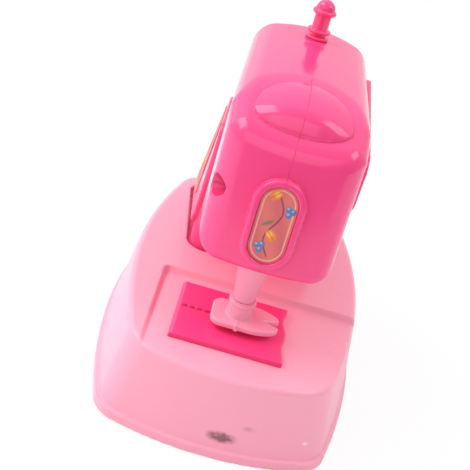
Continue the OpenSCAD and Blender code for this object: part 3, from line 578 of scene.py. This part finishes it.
def arm_field(x, y, z):
    """Both halves as one hollow moulding, before they are parted."""
    outer = arm_outer(x, y, z)
    column_room = most(column_form(x, y, z), SOCKET_Z + COL_FLOOR - ARM_WALL - z)
    hollow = least(arm_form(x, y, z), column_room) + ARM_WALL
    wells = least(*[rod(x, z, well_x, well_z, WELL_D) for well_x, well_z in WELLS])
    tubes = most(wells - WELL_WALL, WELL_SEAT - WELL_SEAT_T - y)
    shell = cut(SHELL_R, outer, most(hollow, -tubes))
    shell = cut(WELL_R, shell, most(wells, WELL_SEAT - y))
    guide = most(rod(x, y, NEEDLE_X, NEEDLE_Y, GUIDE_D), z - ARM_LOW - ARM_WALL - GUIDE_OVER)
    bush = most(rod(y, z, NEEDLE_Y, SHAFT_Z, BUSH_HOLE_D), ARM_FAR - BUSH_DEEP - x)
    post = most(rod(x, y, SPOOL_X, 0.0, POST_HOLE_D), ARM_TOP - POST_DEEP - z)
    shell = cut(HOLE_R, shell, least(guide, bush, post))
    return most(shell, SOCKET_Z - z)


# Half the gap between the halves, and the rounding of the edges along it
SEAM, SEAM_R = 0.002, 0.035


def arm_front_field(x, y, z):
    return meet(SEAM_R, arm_field(x, y, z), y + SEAM)


def arm_back_field(x, y, z):
    return meet(SEAM_R, arm_field(x, y, z), SEAM - y)


ARM_XS = lines(-47.3, (-30.0, 0.35), (47.3, 0.6))
ARM_FRONT_YS = lines(-28.0, (-19.0, 0.55), (-11.0, 0.35), (-0.8, 0.55), (0.28, 0.08))
ARM_ZS = lines(24.2, (48.0, 0.6), (97.4, 0.4))
front = solid("arm_front_moulding", arm_front_field, ARM_XS, ARM_FRONT_YS, ARM_ZS)
place(front, "machine", hot, "arm_front_shell")
back = solid("arm_back_moulding", arm_back_field, ARM_XS, -ARM_FRONT_YS[::-1], ARM_ZS)
place(back, "machine", hot, "arm_back_shell")


# Spool pin

RING_HALF, RING_STEP, RING_R = 0.5, 2.0, 0.45
KNOB_R, KNOB_H, KNOB_LIP_DOWN, KNOB_LIP_HALF, KNOB_LIP_R, POST_DOWN = 2.95, 4.0, 3.75, 0.65, 0.55, 1.6
SPOOL_STEM_R, SPOOL_STEM_DOWN, SPOOL_STEM_HALF = 2.05, 1.5, 2.1
HOLD_DOWN, HOLD_HALF, HOLD_R, SPOOL_FILLET = 2.9, 0.7, 0.3, 0.25


def spool_field(x, y, z):
    r = np.hypot(x - SPOOL_X, y)
    head = r - SPOOL_HEAD_D/2
    low = ARM_TOP
    rings = [meet(RING_R, head, np.abs(z - low - RING_HALF - RING_STEP*k) - RING_HALF) for k in (0, 1)]
    post = most(r - SPOOL_D/2, low - z, z - low - SPOOL_H + POST_DOWN)
    lip = meet(KNOB_LIP_R, head, np.abs(z - low - SPOOL_H + KNOB_LIP_DOWN) - KNOB_LIP_HALF)
    knob = np.sqrt(r**2 + (z - low - SPOOL_H + KNOB_R)**2) - KNOB_R
    knob = most(knob, low + SPOOL_H - KNOB_H - z)
    stem = most(r - SPOOL_STEM_R, np.abs(z - low + SPOOL_STEM_DOWN) - SPOOL_STEM_HALF)
    hold = meet(HOLD_R, head, np.abs(z - low + HOLD_DOWN) - HOLD_HALF)
    return join(SPOOL_FILLET, *rings, post, lip, knob, least(stem, hold))


SPOOL_GRID = (spaced(24.2, 32.8, 0.2), spaced(-4.3, 4.3, 0.2), spaced(91.3, 108.2, 0.2))
spool = solid("spool_pin_moulding", spool_field, *SPOOL_GRID)
place(spool, "machine", hot, "spool_pin")


# Needle bar and presser foot

BAR_EDGE_R, STEM_IN = 0.3, 1.0


def bar_field(x, y, z):
    r = np.hypot(x - NEEDLE_X, y - NEEDLE_Y)
    width = NECK_D/2 + (BAR_D - NECK_D)/2*np.clip((z - CONE_LOW)/(CONE_TOP - CONE_LOW), 0.0, 1.0)
    cone = meet(BAR_EDGE_R, r - width, CONE_LOW - z, z - BAR_TOP)
    stem = most(r - STEM_D/2, FOOT_TOP + HAIR - z, z - CONE_LOW - STEM_IN)
    return least(cone, stem)


BAR_GRID = (spaced(-39.1, -28.9, 0.25), spaced(-4.3, 5.9, 0.25), spaced(30.2, 59.6, 0.25))
bar = solid("needle_bar_moulding", bar_field, *BAR_GRID)
place(bar, "needle", light, "needle_bar")


FOOT_CORNER, TOE_R, NOTCH_R, TOE_HALF, NOTCH_HALF = 3.2, 1.2, 0.7, 3.0, 1.5
TOE_SLOPE_SHARES, NOTCH_SHARE, NOTCH_SLOPE_SHARE = (0.72, 0.69), 0.34, 0.93


def foot_outline(x, y):
    """The foot from above, with Y pointing away from the toes."""
    across, along = TOE_SLOPE_SHARES
    side = np.abs(x) - FOOT_W/2
    nose = (np.abs(x) - TOE_HALF)*across - (y + FOOT_FRONT)*along
    body = meet(FOOT_CORNER, side, y - FOOT_BACK, nose)
    body = meet(TOE_R, body, -y - FOOT_FRONT)
    apex = FOOT_FRONT*(1 - NOTCH_SHARE)
    notch = (np.abs(x) + NOTCH_HALF*(y + apex)/(FOOT_FRONT*NOTCH_SHARE))*NOTCH_SLOPE_SHARE
    return cut(NOTCH_R, body, notch)


FOOT_EDGE_R, FOOT_FILLET, COLLAR_R, COLLAR_ROOT, COLLAR_FILLET = 0.55, 0.5, 0.35, 0.5, 0.2
BAND_OUT, BAND_DOWN, BAND_HALF, BAND_R = 0.35, 0.8, 0.55, 0.3
RIB_HALF, RIB_OUT, RIB_OVER, RIB_R, RIB_FILLET = 0.55, 0.22, 0.12, 0.25, 0.15
STEM_ROOM, STEM_HOLE_R = 0.06, 0.2


def foot_field(x, y, z):
    dx, dy = x - NEEDLE_X, y - NEEDLE_Y
    r = np.hypot(dx, dy)
    plate = meet(FOOT_EDGE_R, foot_outline(dx, dy), z - FOOT_TOP, FOOT_LOW - z)
    collar = meet(COLLAR_R, r - COLLAR_D/2, z - COLLAR_TOP)
    collar = most(collar, FOOT_LOW + COLLAR_ROOT - z)
    band = meet(BAND_R, r - COLLAR_D/2 - BAND_OUT, np.abs(z - COLLAR_TOP + BAND_DOWN) - BAND_HALF)
    rib_rise = np.abs(z - FOOT_LOW - FOOT_T/2) - FOOT_T/2 - RIB_OVER
    rib = meet(RIB_R, np.abs(dy) - RIB_HALF, -dx - FOOT_W/2 - RIB_OUT, dx, rib_rise)
    body = join(FOOT_FILLET, plate, join(COLLAR_FILLET, collar, band))
    body = join(RIB_FILLET, body, rib)
    return cut(STEM_HOLE_R, body, most(r - STEM_D/2 - STEM_ROOM, FOOT_TOP - z))


FOOT_GRID = (spaced(-41.4, -26.8, 0.25), spaced(-12.0, 9.4, 0.25), spaced(28.4, 36.8, 0.2))
foot = solid("presser_foot_moulding", foot_field, *FOOT_GRID)
place(foot, "needle", light, "presser_foot")


# Hand wheel

DIP_OUT, DIP_R, DIP_EDGE_R, WHEEL_EDGE_R = 1.7, 2.5, 0.6, 1.1
DISH_RIM, DISH_FLOOR, DISH_R, DISH_EDGE_R = 3.0, 3.0, 0.8, 0.7
HUB_R, HUB_IN, HUB_EDGE_R, HUB_ROOT, HUB_FILLET, BORE_EDGE_R = 5.0, 3.0, 0.5, 1.0, 0.6, 0.1


def wheel_field(x, y, z):
    dy, dz = y - NEEDLE_Y, z - SHAFT_Z
    r = np.hypot(dy, dz)
    step = 2*math.pi/WHEEL_DIPS
    turn = np.arctan2(dy, dz)
    turn = np.mod(turn + step/2, step) - step/2
    dip = np.hypot(r*np.cos(turn) - WHEEL_D/2 - DIP_OUT, r*np.sin(turn)) - DIP_R
    rim = meet(WHEEL_EDGE_R, r - WHEEL_D/2, x - WHEEL_FAR, WHEEL_NEAR - x)
    rim = cut(DIP_EDGE_R, rim, dip)
    dish = meet(DISH_R, r - WHEEL_D/2 + DISH_RIM, WHEEL_NEAR + DISH_FLOOR - x)
    hub = meet(HUB_EDGE_R, r - HUB_R, x - WHEEL_FAR + HUB_IN)
    rim = join(HUB_FILLET, cut(DISH_EDGE_R, rim, dish), most(hub, WHEEL_NEAR + HUB_ROOT - x))
    return cut(BORE_EDGE_R, rim, r - SHAFT_D/2 - HAIR)


WHEEL_GRID = (spaced(44.7, 54.7, 0.3), spaced(-15.0, 16.6, 0.35), spaced(54.2, 85.8, 0.35))
wheel = solid("hand_wheel_moulding", wheel_field, *WHEEL_GRID)
place(wheel, "wheel_train", light, "hand_wheel")


# Screws with crossed slots

HEAD_R, HEAD_DOME, SLOT_HALF, SLOT_REACH_SHARE, SLOT_FLOOR_SHARE, SLOT_R = 0.35, 0.35, 0.42, 0.3, 0.4, 0.1
THREAD_DEEP, THREAD_PITCH, SHANK_R, SHANK_IN = 0.16, 1.0, 0.2, 0.3
SCREW_MARGIN, SCREW_STEP, SHANK_STEP, SHANK_END, HEAD_STEP, HEAD_OVER = 0.2, 0.16, 0.22, -0.3, 0.1, 0.15


def screw(head_d, head_t, shank_d, shank_l):
    """A screw that points down, with its head's underside at zero."""
    def field(x, y, z):
        r = np.hypot(x, y)
        head = meet(HEAD_R, r - head_d/2, z - head_t + HEAD_DOME*(2*r/head_d)**2, -z)
        reach = SLOT_REACH_SHARE*head_d
        across = most(np.abs(x) - SLOT_HALF, np.abs(y) - reach)
        along = most(np.abs(y) - SLOT_HALF, np.abs(x) - reach)
        head = cut(SLOT_R, head, most(least(across, along), SLOT_FLOOR_SHARE*head_t - z))
        thread = THREAD_DEEP*np.abs(np.mod(z + np.arctan2(y, x)/(2*np.pi), THREAD_PITCH) - THREAD_PITCH/2)
        return least(head, meet(SHANK_R, r - shank_d/2 + thread, z - SHANK_IN, -z - shank_l))
    flat = spaced(-head_d/2 - SCREW_MARGIN, head_d/2 + SCREW_MARGIN, SCREW_STEP)
    upright = lines(-shank_l - SCREW_MARGIN, (SHANK_END, SHANK_STEP), (head_t + HEAD_OVER, HEAD_STEP))
    return skin(field, flat, flat, upright)


ARM_SCREW_L, BED_SCREW_L, WHEEL_SCREW_L, WHEEL_SCREW_RIM = 14.8, 8.8, 5.8, 1.5
BED_SCREW_X, BED_SCREW_Y, BED_SCREW_SUNK = 0.37*BED_L, 0.275*BED_W, 0.2
DOWNWARD = np.diag([1.0, -1.0, -1.0])
BACKWARD = np.array([[1.0, 0.0, 0.0], [0.0, 0.0, 1.0], [0.0, -1.0, 0.0]])
OUTWARD = np.array([[0.0, 0.0, 1.0], [0.0, 1.0, 0.0], [-1.0, 0.0, 0.0]])
BED_SCREWS = [(x, y) for x in (-BED_SCREW_X, BED_SCREW_X) for y in (-BED_SCREW_Y, BED_SCREW_Y)]
arm_screws = copies("arm_screws_turned", screw(SCREW_HEAD_D, SCREW_HEAD_T, SCREW_D, ARM_SCREW_L),
                    [(BACKWARD, np.array([x, WELL_SEAT, z])) for x, z in WELLS])
# The arm screws take the steel painted with their wells' shade
place(arm_screws, "machine", steel_in_painted_shade, "arm_screws")
bed_screws = copies("bed_screws_turned", screw(SCREW_HEAD_D, SCREW_HEAD_T, SCREW_D, BED_SCREW_L),
                    [(DOWNWARD, np.array([x, y, SCREW_HEAD_T + BED_SCREW_SUNK])) for x, y in BED_SCREWS])
place(bed_screws, "machine", steel, "bed_screws")
WHEEL_SCREW_HEAD_D = SHAFT_D + 2*WHEEL_SCREW_RIM
wheel_screw = copies("wheel_screw_turned",
                     screw(WHEEL_SCREW_HEAD_D, SCREW_HEAD_T, SHAFT_D/2, WHEEL_SCREW_L),
                     [(OUTWARD, np.array([WHEEL_FAR - HUB_IN, NEEDLE_Y, SHAFT_Z]))])
place(wheel_screw, "wheel_train", steel, "wheel_screw")


# Labels: thin sheets with a generic design of a winding stem, berries and buds, as a colour on each point

TRIM_PULLS, TRIM_LEAST = 4, 0.05


def sheet(name, outline, spot, us, vs, paint):
    """A closed sheet: grid cells trimmed to the outline, lifted onto a surface by spot(u, v, height)."""
    u, v = [a.ravel() for a in np.meshgrid(us, vs, indexing="ij")]
    inside = (outline(u, v) < 0).reshape(len(us), len(vs))
    keep = np.argwhere(inside[1:, 1:] | inside[:-1, 1:] | inside[1:, :-1] | inside[:-1, :-1])
    first = keep[:, 0]*len(vs) + keep[:, 1]
    cells = np.stack([first, first + len(vs), first + len(vs) + 1, first + 1], axis=1)
    used, cells = np.unique(cells, return_inverse=True)
    cells = cells.reshape(-1, 4)
    u, v = u[used], v[used]
    for _ in range(TRIM_PULLS):
        d = np.maximum(outline(u, v), 0.0)
        du = (outline(u + PROBE, v) - outline(u - PROBE, v))/(2*PROBE)
        dv = (outline(u, v + PROBE) - outline(u, v - PROBE))/(2*PROBE)
        size = np.maximum(du**2 + dv**2, TRIM_LEAST)
        u, v = u - d*du/size, v - d*dv/size
    low, high = spot(u, v, HAIR), spot(u, v, LABEL_T)
    sides = np.concatenate([cells[:, [k, (k + 1) % 4]] for k in range(4)])
    order = np.sort(sides, axis=1)
    _, where, times = np.unique(order, axis=0, return_index=True, return_counts=True)
    rim = sides[where[times == 1]]
    n = len(u)
    wall = np.stack([rim[:, 0], rim[:, 1], rim[:, 1] + n, rim[:, 0] + n], axis=1)
    quads = np.concatenate([cells + n, cells[:, ::-1], wall])
    a, b, c = high[cells[0, 0]], high[cells[0, 1]], high[cells[0, 3]]
    if np.dot(np.cross(b - a, c - a), high[cells[0, 0]] - low[cells[0, 0]]) < 0:
        quads = quads[:, ::-1]
    piece = piece_of(name, np.concatenate([low, high]), quads)
    colour = linear(paint(u, v, outline(u, v)))
    colour = np.concatenate([colour, np.ones((n, 1))], axis=1)
    layer = piece.data.color_attributes.new("design", "FLOAT_COLOR", "POINT")
    layer.data.foreach_set("color", np.concatenate([colour, colour]).ravel())
    return piece


def laid(colour, d, tint, blur=0.12):
    """Paint a tint where the distance d is below zero."""
    cover = np.clip(0.5 - d/(2*blur), 0.0, 1.0)[:, None]
    return colour + cover*(np.array(tint) - colour)


def turned(s, t, s0, t0, angle):
    """Places measured from a point along axes turned by an angle."""
    c, n = math.cos(angle), math.sin(angle)
    return (s - s0)*c + (t - t0)*n, (t - t0)*c - (s - s0)*n


PAPER, PAPER_DEEP = np.array((230, 118, 114)), np.array((218, 102, 106))
BORDER, STEM, PAPER_FIBRE = (246, 190, 172), (122, 60, 84), (188, 84, 92)
LEAF, VEIN, BERRY, BERRY_SHINE = (150, 132, 98), (112, 92, 84), (86, 124, 176), (176, 202, 226)
BUD, BUD_HEART, BUD_FOLD = (240, 136, 66), (252, 200, 92), (206, 100, 56)
# The drawing's proportions, as shares of grow; its turns are in radians and its blurs in millimetres
FADE_ALONG, FADE_ACROSS, BORDER_IN, LINE_HALF = 0.35, 0.9, 0.75, 0.17
STEM_PACE, STEM_SWING, MOTIF_STEP = 0.42, 1.5, 3.6
LEAF_S, LEAF_T, LEAF_TURN, LEAF_LONG, LEAF_WIDE, VEIN_HALF = 1.5, 0.5, 0.6, 1.5, 0.62, 0.08
BERRIES = ((1.5, 0.2), (2.4, 1.3), (1.2, 1.7))
BERRY_R, SHINE_S, SHINE_T, SHINE_R, SHINE_BLUR = 0.82, 0.22, 0.25, 0.3, 0.2
BUD_S, BUD_T, BUD_TURN, BUD_R, BUD_SLIM, FOLD_HALF = 1.7, 0.9, 0.8, 1.25, 0.7, 0.1
HEART_UP, HEART_R, HEART_SLIM, HEART_BLUR = 0.5, 0.7, 0.8, 0.3


def design(s, t, edge, half, grow):
    """A stem that winds along t, with leaves, berry sprigs and buds in turn; grow is the motifs' unit."""
    fade = (0.5 + 0.5*np.sin(FADE_ALONG*t/grow + FADE_ACROSS*s/grow))[:, None]
    colour = PAPER + fade*(PAPER_DEEP - PAPER)
    colour = laid(colour, np.abs(edge + BORDER_IN*grow) - LINE_HALF*grow, BORDER)
    pace, swing = STEM_PACE/grow, STEM_SWING*grow
    stem = (s - swing*np.sin(pace*t))/np.sqrt(1 + (pace*swing*np.cos(pace*t))**2)
    colour = laid(colour, np.maximum(np.abs(stem) - LINE_HALF*grow, np.abs(t) - half), STEM)
    step = MOTIF_STEP*grow
    for k in range(-int(half/step), int(half/step) + 1):
        t0 = k*step
        s0 = swing*math.sin(pace*t0)
        side = 1 if k % 2 else -1
        kind = k % 3
        if kind == 0:
            a, b = turned(s, t, s0 + side*LEAF_S*grow, t0 + LEAF_T*grow, -side*LEAF_TURN)
            leaf = (np.hypot(a/LEAF_LONG, b/LEAF_WIDE) - grow)*LEAF_WIDE
            colour = laid(colour, leaf, LEAF)
            colour = laid(colour, np.maximum(np.abs(b) - VEIN_HALF*grow, leaf), VEIN)
        elif kind == 1:
            for ds, dt in BERRIES:
                berry = np.hypot(s - s0 - side*ds*grow, t - t0 - dt*grow)
                colour = laid(colour, berry - BERRY_R*grow, BERRY)
                shine = np.hypot(s - s0 - (side*ds - SHINE_S)*grow, t - t0 - (dt + SHINE_T)*grow)
                colour = laid(colour, shine - SHINE_R*grow, BERRY_SHINE, SHINE_BLUR)
        else:
            a, b = turned(s, t, s0 + side*BUD_S*grow, t0 + BUD_T*grow, side*BUD_TURN)
            bud = np.hypot(a, b*BUD_SLIM) - BUD_R*grow
            colour = laid(colour, bud, BUD)
            heart = np.hypot(a, (b - HEART_UP*grow)*HEART_SLIM) - HEART_R*grow
            colour = laid(colour, heart, BUD_HEART, HEART_BLUR)
            colour = laid(colour, np.maximum(bud, np.abs(a) - FOLD_HALF*grow), BUD_FOLD)
    return colour


FIBRE_SCALE, SHEEN_SCALE, PAPER_SCALE = 1500.0, 300.0, 800.0
label_nodes = Nodes("label_print")
print_node = label_nodes.node("ShaderNodeVertexColor", layer_name="design")
fibre = label_nodes.span(label_nodes.noise(FIBRE_SCALE, 3.0, 0.6), 0.3, 0.7, 0.0, 0.12)
label_nodes.feed(label_nodes.shader.inputs["Base Color"],
                 label_nodes.mix(fibre, print_node.outputs["Color"], rgb(*PAPER_FIBRE)))
label_nodes.feed(label_nodes.shader.inputs["Roughness"],
                 label_nodes.span(label_nodes.noise(SHEEN_SCALE), 0.3, 0.7, 0.5, 0.58))
label_nodes.bump(label_nodes.noise(PAPER_SCALE, 2.0), 0.06)
label_print = label_nodes.material

LABEL_ROOM = 0.2
PILL_W, PILL_H = [size - 2*FRAME_RIM - 2*LABEL_ROOM for size in (FRAME_W, FRAME_H)]
FACE_X = ARM_NEAR + (FRAME_Z - ARM_LOW)*math.tan(LEAN)


def face_spot(y, t, height):
    out = FRAME_FLOOR + height
    return np.stack([FACE_X + t*math.sin(LEAN) - out*math.cos(LEAN), y,
                     FRAME_Z + t*math.cos(LEAN) + out*math.sin(LEAN)], axis=1)


def front_spot(x, z, height):
    return np.stack([x, 0*x - ARM_HALF - PANEL_T - height, z], axis=1)


def back_spot(x, z, height):
    foot = column_foot(x, 0.0)
    up = (z - SOCKET_Z)/(COL_TOP - SOCKET_Z)
    return np.stack([x, foot + up*(ARM_HALF - foot) + PANEL_T + height, z], axis=1)


BACK_LABEL_IN = 15.0
# The middle of each side label: a height that rises with X, and a point along X and Z
FRONT_MID_Z, FRONT_MID_RISE, BACK_MID_X, BACK_MID_Z = 76.0, 0.092, 26.5, 50.5
END_MARGIN = 2.0
END_GRID = (spaced(-5.1, 5.1, 0.12), spaced(-10.6, 10.6, 0.12))
FRONT_GRID = (spaced(-25.0, 30.0, 0.2), spaced(69.0, 86.0, 0.2))
BACK_GRID = (spaced(19.0, 34.2, 0.2), spaced(36.0, 65.0, 0.2))


def end_paint(y, t, edge):
    return design(-y, t, edge, half=PILL_H/2 - END_MARGIN, grow=1.0)


def front_paint(x, z, edge):
    return design(FRONT_MID_Z + FRONT_MID_RISE*x - z, x, edge, half=24.0, grow=1.15)


def back_paint(x, z, edge):
    return design(x - BACK_MID_X, z - BACK_MID_Z, edge, half=11.0, grow=1.3)


end_label = sheet("end_label_print", lambda y, t: pill(y, t, PILL_W, PILL_H),
                  face_spot, *END_GRID, end_paint)
place(end_label, "machine", label_print, "end_label")
front_label = sheet("front_label_print", lambda x, z: front_panel(x, z, LABEL_INSET),
                    front_spot, *FRONT_GRID, front_paint)
place(front_label, "machine", label_print, "front_label")
back_label = sheet("back_label_print", lambda x, z: back_panel(x, z, LABEL_INSET, BACK_LABEL_IN),
                   back_spot, *BACK_GRID, back_paint)
place(back_label, "machine", label_print, "back_label")


# CAD nodes that stay as they are

for names, material in (
        (("bed_cover", "needle_guide"), light), (("yoke", "crank_disc", "front_bush", "rear_bush"), nylon),
        (("column_screws", "main_shaft", "crank_pin", "front_washer", "rear_washer"), steel)):
    for name in names:
        nodes[name].data.materials.clear()
        nodes[name].data.materials.append(material)


# Stage, light and camera

def lamp(name, at, size, power):
    data = bpy.data.lights.new(name, "AREA")
    data.shape = "RECTANGLE"
    data.size, data.size_y = size
    data.energy = power
    thing = bpy.data.objects.new(name, data)
    thing.location = at
    thing.rotation_mode = "QUATERNION"
    thing.rotation_quaternion = (Vector(AIM) - Vector(at)).to_track_quat("-Z", "Y")
    bpy.context.scene.collection.objects.link(thing)


REACH, FLOOR_EDGE, FLOOR_Z, FLOOR_SCALE, FLOOR_ROUGH, FLOOR_GLOW_SHARE = 4.0, -0.42, -0.0002, 30.0, 0.9, 0.88
FLOOR = [(FLOOR_EDGE, -REACH, 0), (REACH, -REACH, 0), (REACH, REACH, 0), (FLOOR_EDGE, REACH, 0)]
floor_mesh = bpy.data.meshes.new("floor")
floor_mesh.from_pydata(FLOOR, [], [(0, 1, 2, 3)])
floor = bpy.data.objects.new("floor", floor_mesh)
floor.location.z = FLOOR_Z
bpy.context.scene.collection.objects.link(floor)
floor_nodes = Nodes("floor_paper")
floor_nodes.feed(floor_nodes.shader.inputs["Base Color"],
                 floor_nodes.mix(floor_nodes.noise(FLOOR_SCALE), rgb(250, 250, 250), rgb(246, 246, 246)))
floor_nodes.shader.inputs["Roughness"].default_value = FLOOR_ROUGH
glow = floor_nodes.node("ShaderNodeEmission")
glow.inputs["Strength"].default_value = 1.0
path = floor_nodes.node("ShaderNodeLightPath")
blend = floor_nodes.node("ShaderNodeMixShader")
floor_nodes.feed(blend.inputs["Fac"],
                 floor_nodes.math("MULTIPLY", path.outputs["Is Camera Ray"], FLOOR_GLOW_SHARE))
floor_nodes.feed(blend.inputs[1], floor_nodes.shader.outputs[0])
floor_nodes.feed(blend.inputs[2], glow.outputs[0])
out = next(n for n in floor_nodes.tree.nodes if n.type == "OUTPUT_MATERIAL")
floor_nodes.feed(out.inputs["Surface"], blend.outputs[0])
floor_mesh.materials.append(floor_nodes.material)

world = bpy.data.worlds.new("studio")
bpy.context.scene.world = world
world.use_nodes = True
sky = world.node_tree
backdrop = next(n for n in sky.nodes if n.type == "BACKGROUND")
backdrop.inputs["Color"].default_value = (1.0, 1.0, 1.0, 1.0)
way = sky.nodes.new("ShaderNodeTexCoord")
parts = sky.nodes.new("ShaderNodeSeparateXYZ")
sky.links.new(way.outputs["Generated"], parts.inputs[0])


def glow_toward(axis, low, high, to_low, to_high):
    """Brightness of the room, rising along one axis of its direction."""
    n = sky.nodes.new("ShaderNodeMapRange")
    n.interpolation_type = "SMOOTHSTEP"
    sky.links.new(parts.outputs[axis], n.inputs["Value"])
    for key, number in (("From Min", low), ("From Max", high), ("To Min", to_low), ("To Max", to_high)):
        n.inputs[key].default_value = number
    return n.outputs["Result"]


# For each axis, where the room starts and stops to brighten and its brightness there
GLOWS = (("X", -0.7, 0.5, 0.17, 0.84), ("Y", 0.0, 0.9, 0.0, 0.6), ("Z", 0.35, 0.95, 0.0, 0.3))
total = None
for share in [glow_toward(*row) for row in GLOWS]:
    if total is not None:
        both = sky.nodes.new("ShaderNodeMath")
        sky.links.new(total, both.inputs[0])
        sky.links.new(share, both.inputs[1])
        share = both.outputs[0]
    total = share
seen = sky.nodes.new("ShaderNodeLightPath")
plain = sky.nodes.new("ShaderNodeMath")
plain.operation = "MAXIMUM"
sky.links.new(total, plain.inputs[0])
sky.links.new(seen.outputs["Is Camera Ray"], plain.inputs[1])
sky.links.new(plain.outputs[0], backdrop.inputs["Strength"])

# Lamps with their places and sizes in metres and their power in watts, all aimed at the machine
AIM = (0.0, 0.0, 0.05)
LAMPS = (
    ("left_window", (-0.02, 0.55, 0.68), (0.6, 0.45), 3.0),
    ("right_window", (-0.12, -0.5, 0.75), (0.42, 0.34), 1.4),
    ("front_window", (-0.72, 0.1, 0.6), (0.9, 0.5), 1.3))
for name, at, size, power in LAMPS:
    lamp(name, at, size, power)

# The camera is fitted to the photograph: its place in millimetres, its view and its focal length in pixels
FOCAL_PX, FRAME_PX, SENSOR = 900.0, 470.0, 36.0
CAMERA_AT = (-247.55, 15.18, 168.21)
CAMERA_FORWARD, CAMERA_DOWN = (0.8825, -0.0285, -0.4695), (-0.4581, -0.2783, -0.8442)
camera_data = bpy.data.cameras.new("camera")
camera_data.sensor_width = SENSOR
camera_data.lens = FOCAL_PX/FRAME_PX*SENSOR
camera = bpy.data.objects.new("camera", camera_data)
forward = Vector(CAMERA_FORWARD).normalized()
down = Vector(CAMERA_DOWN)
down = (down - forward*down.dot(forward)).normalized()
right = down.cross(forward)
camera.matrix_world = Matrix.Translation(Vector(CAMERA_AT)*MM) @ Matrix((
    (right.x, -down.x, -forward.x), (right.y, -down.y, -forward.y), (right.z, -down.z, -forward.z))).to_4x4()
bpy.context.scene.collection.objects.link(camera)
bpy.context.scene.camera = camera
bpy.context.scene.view_settings.view_transform = "Standard"
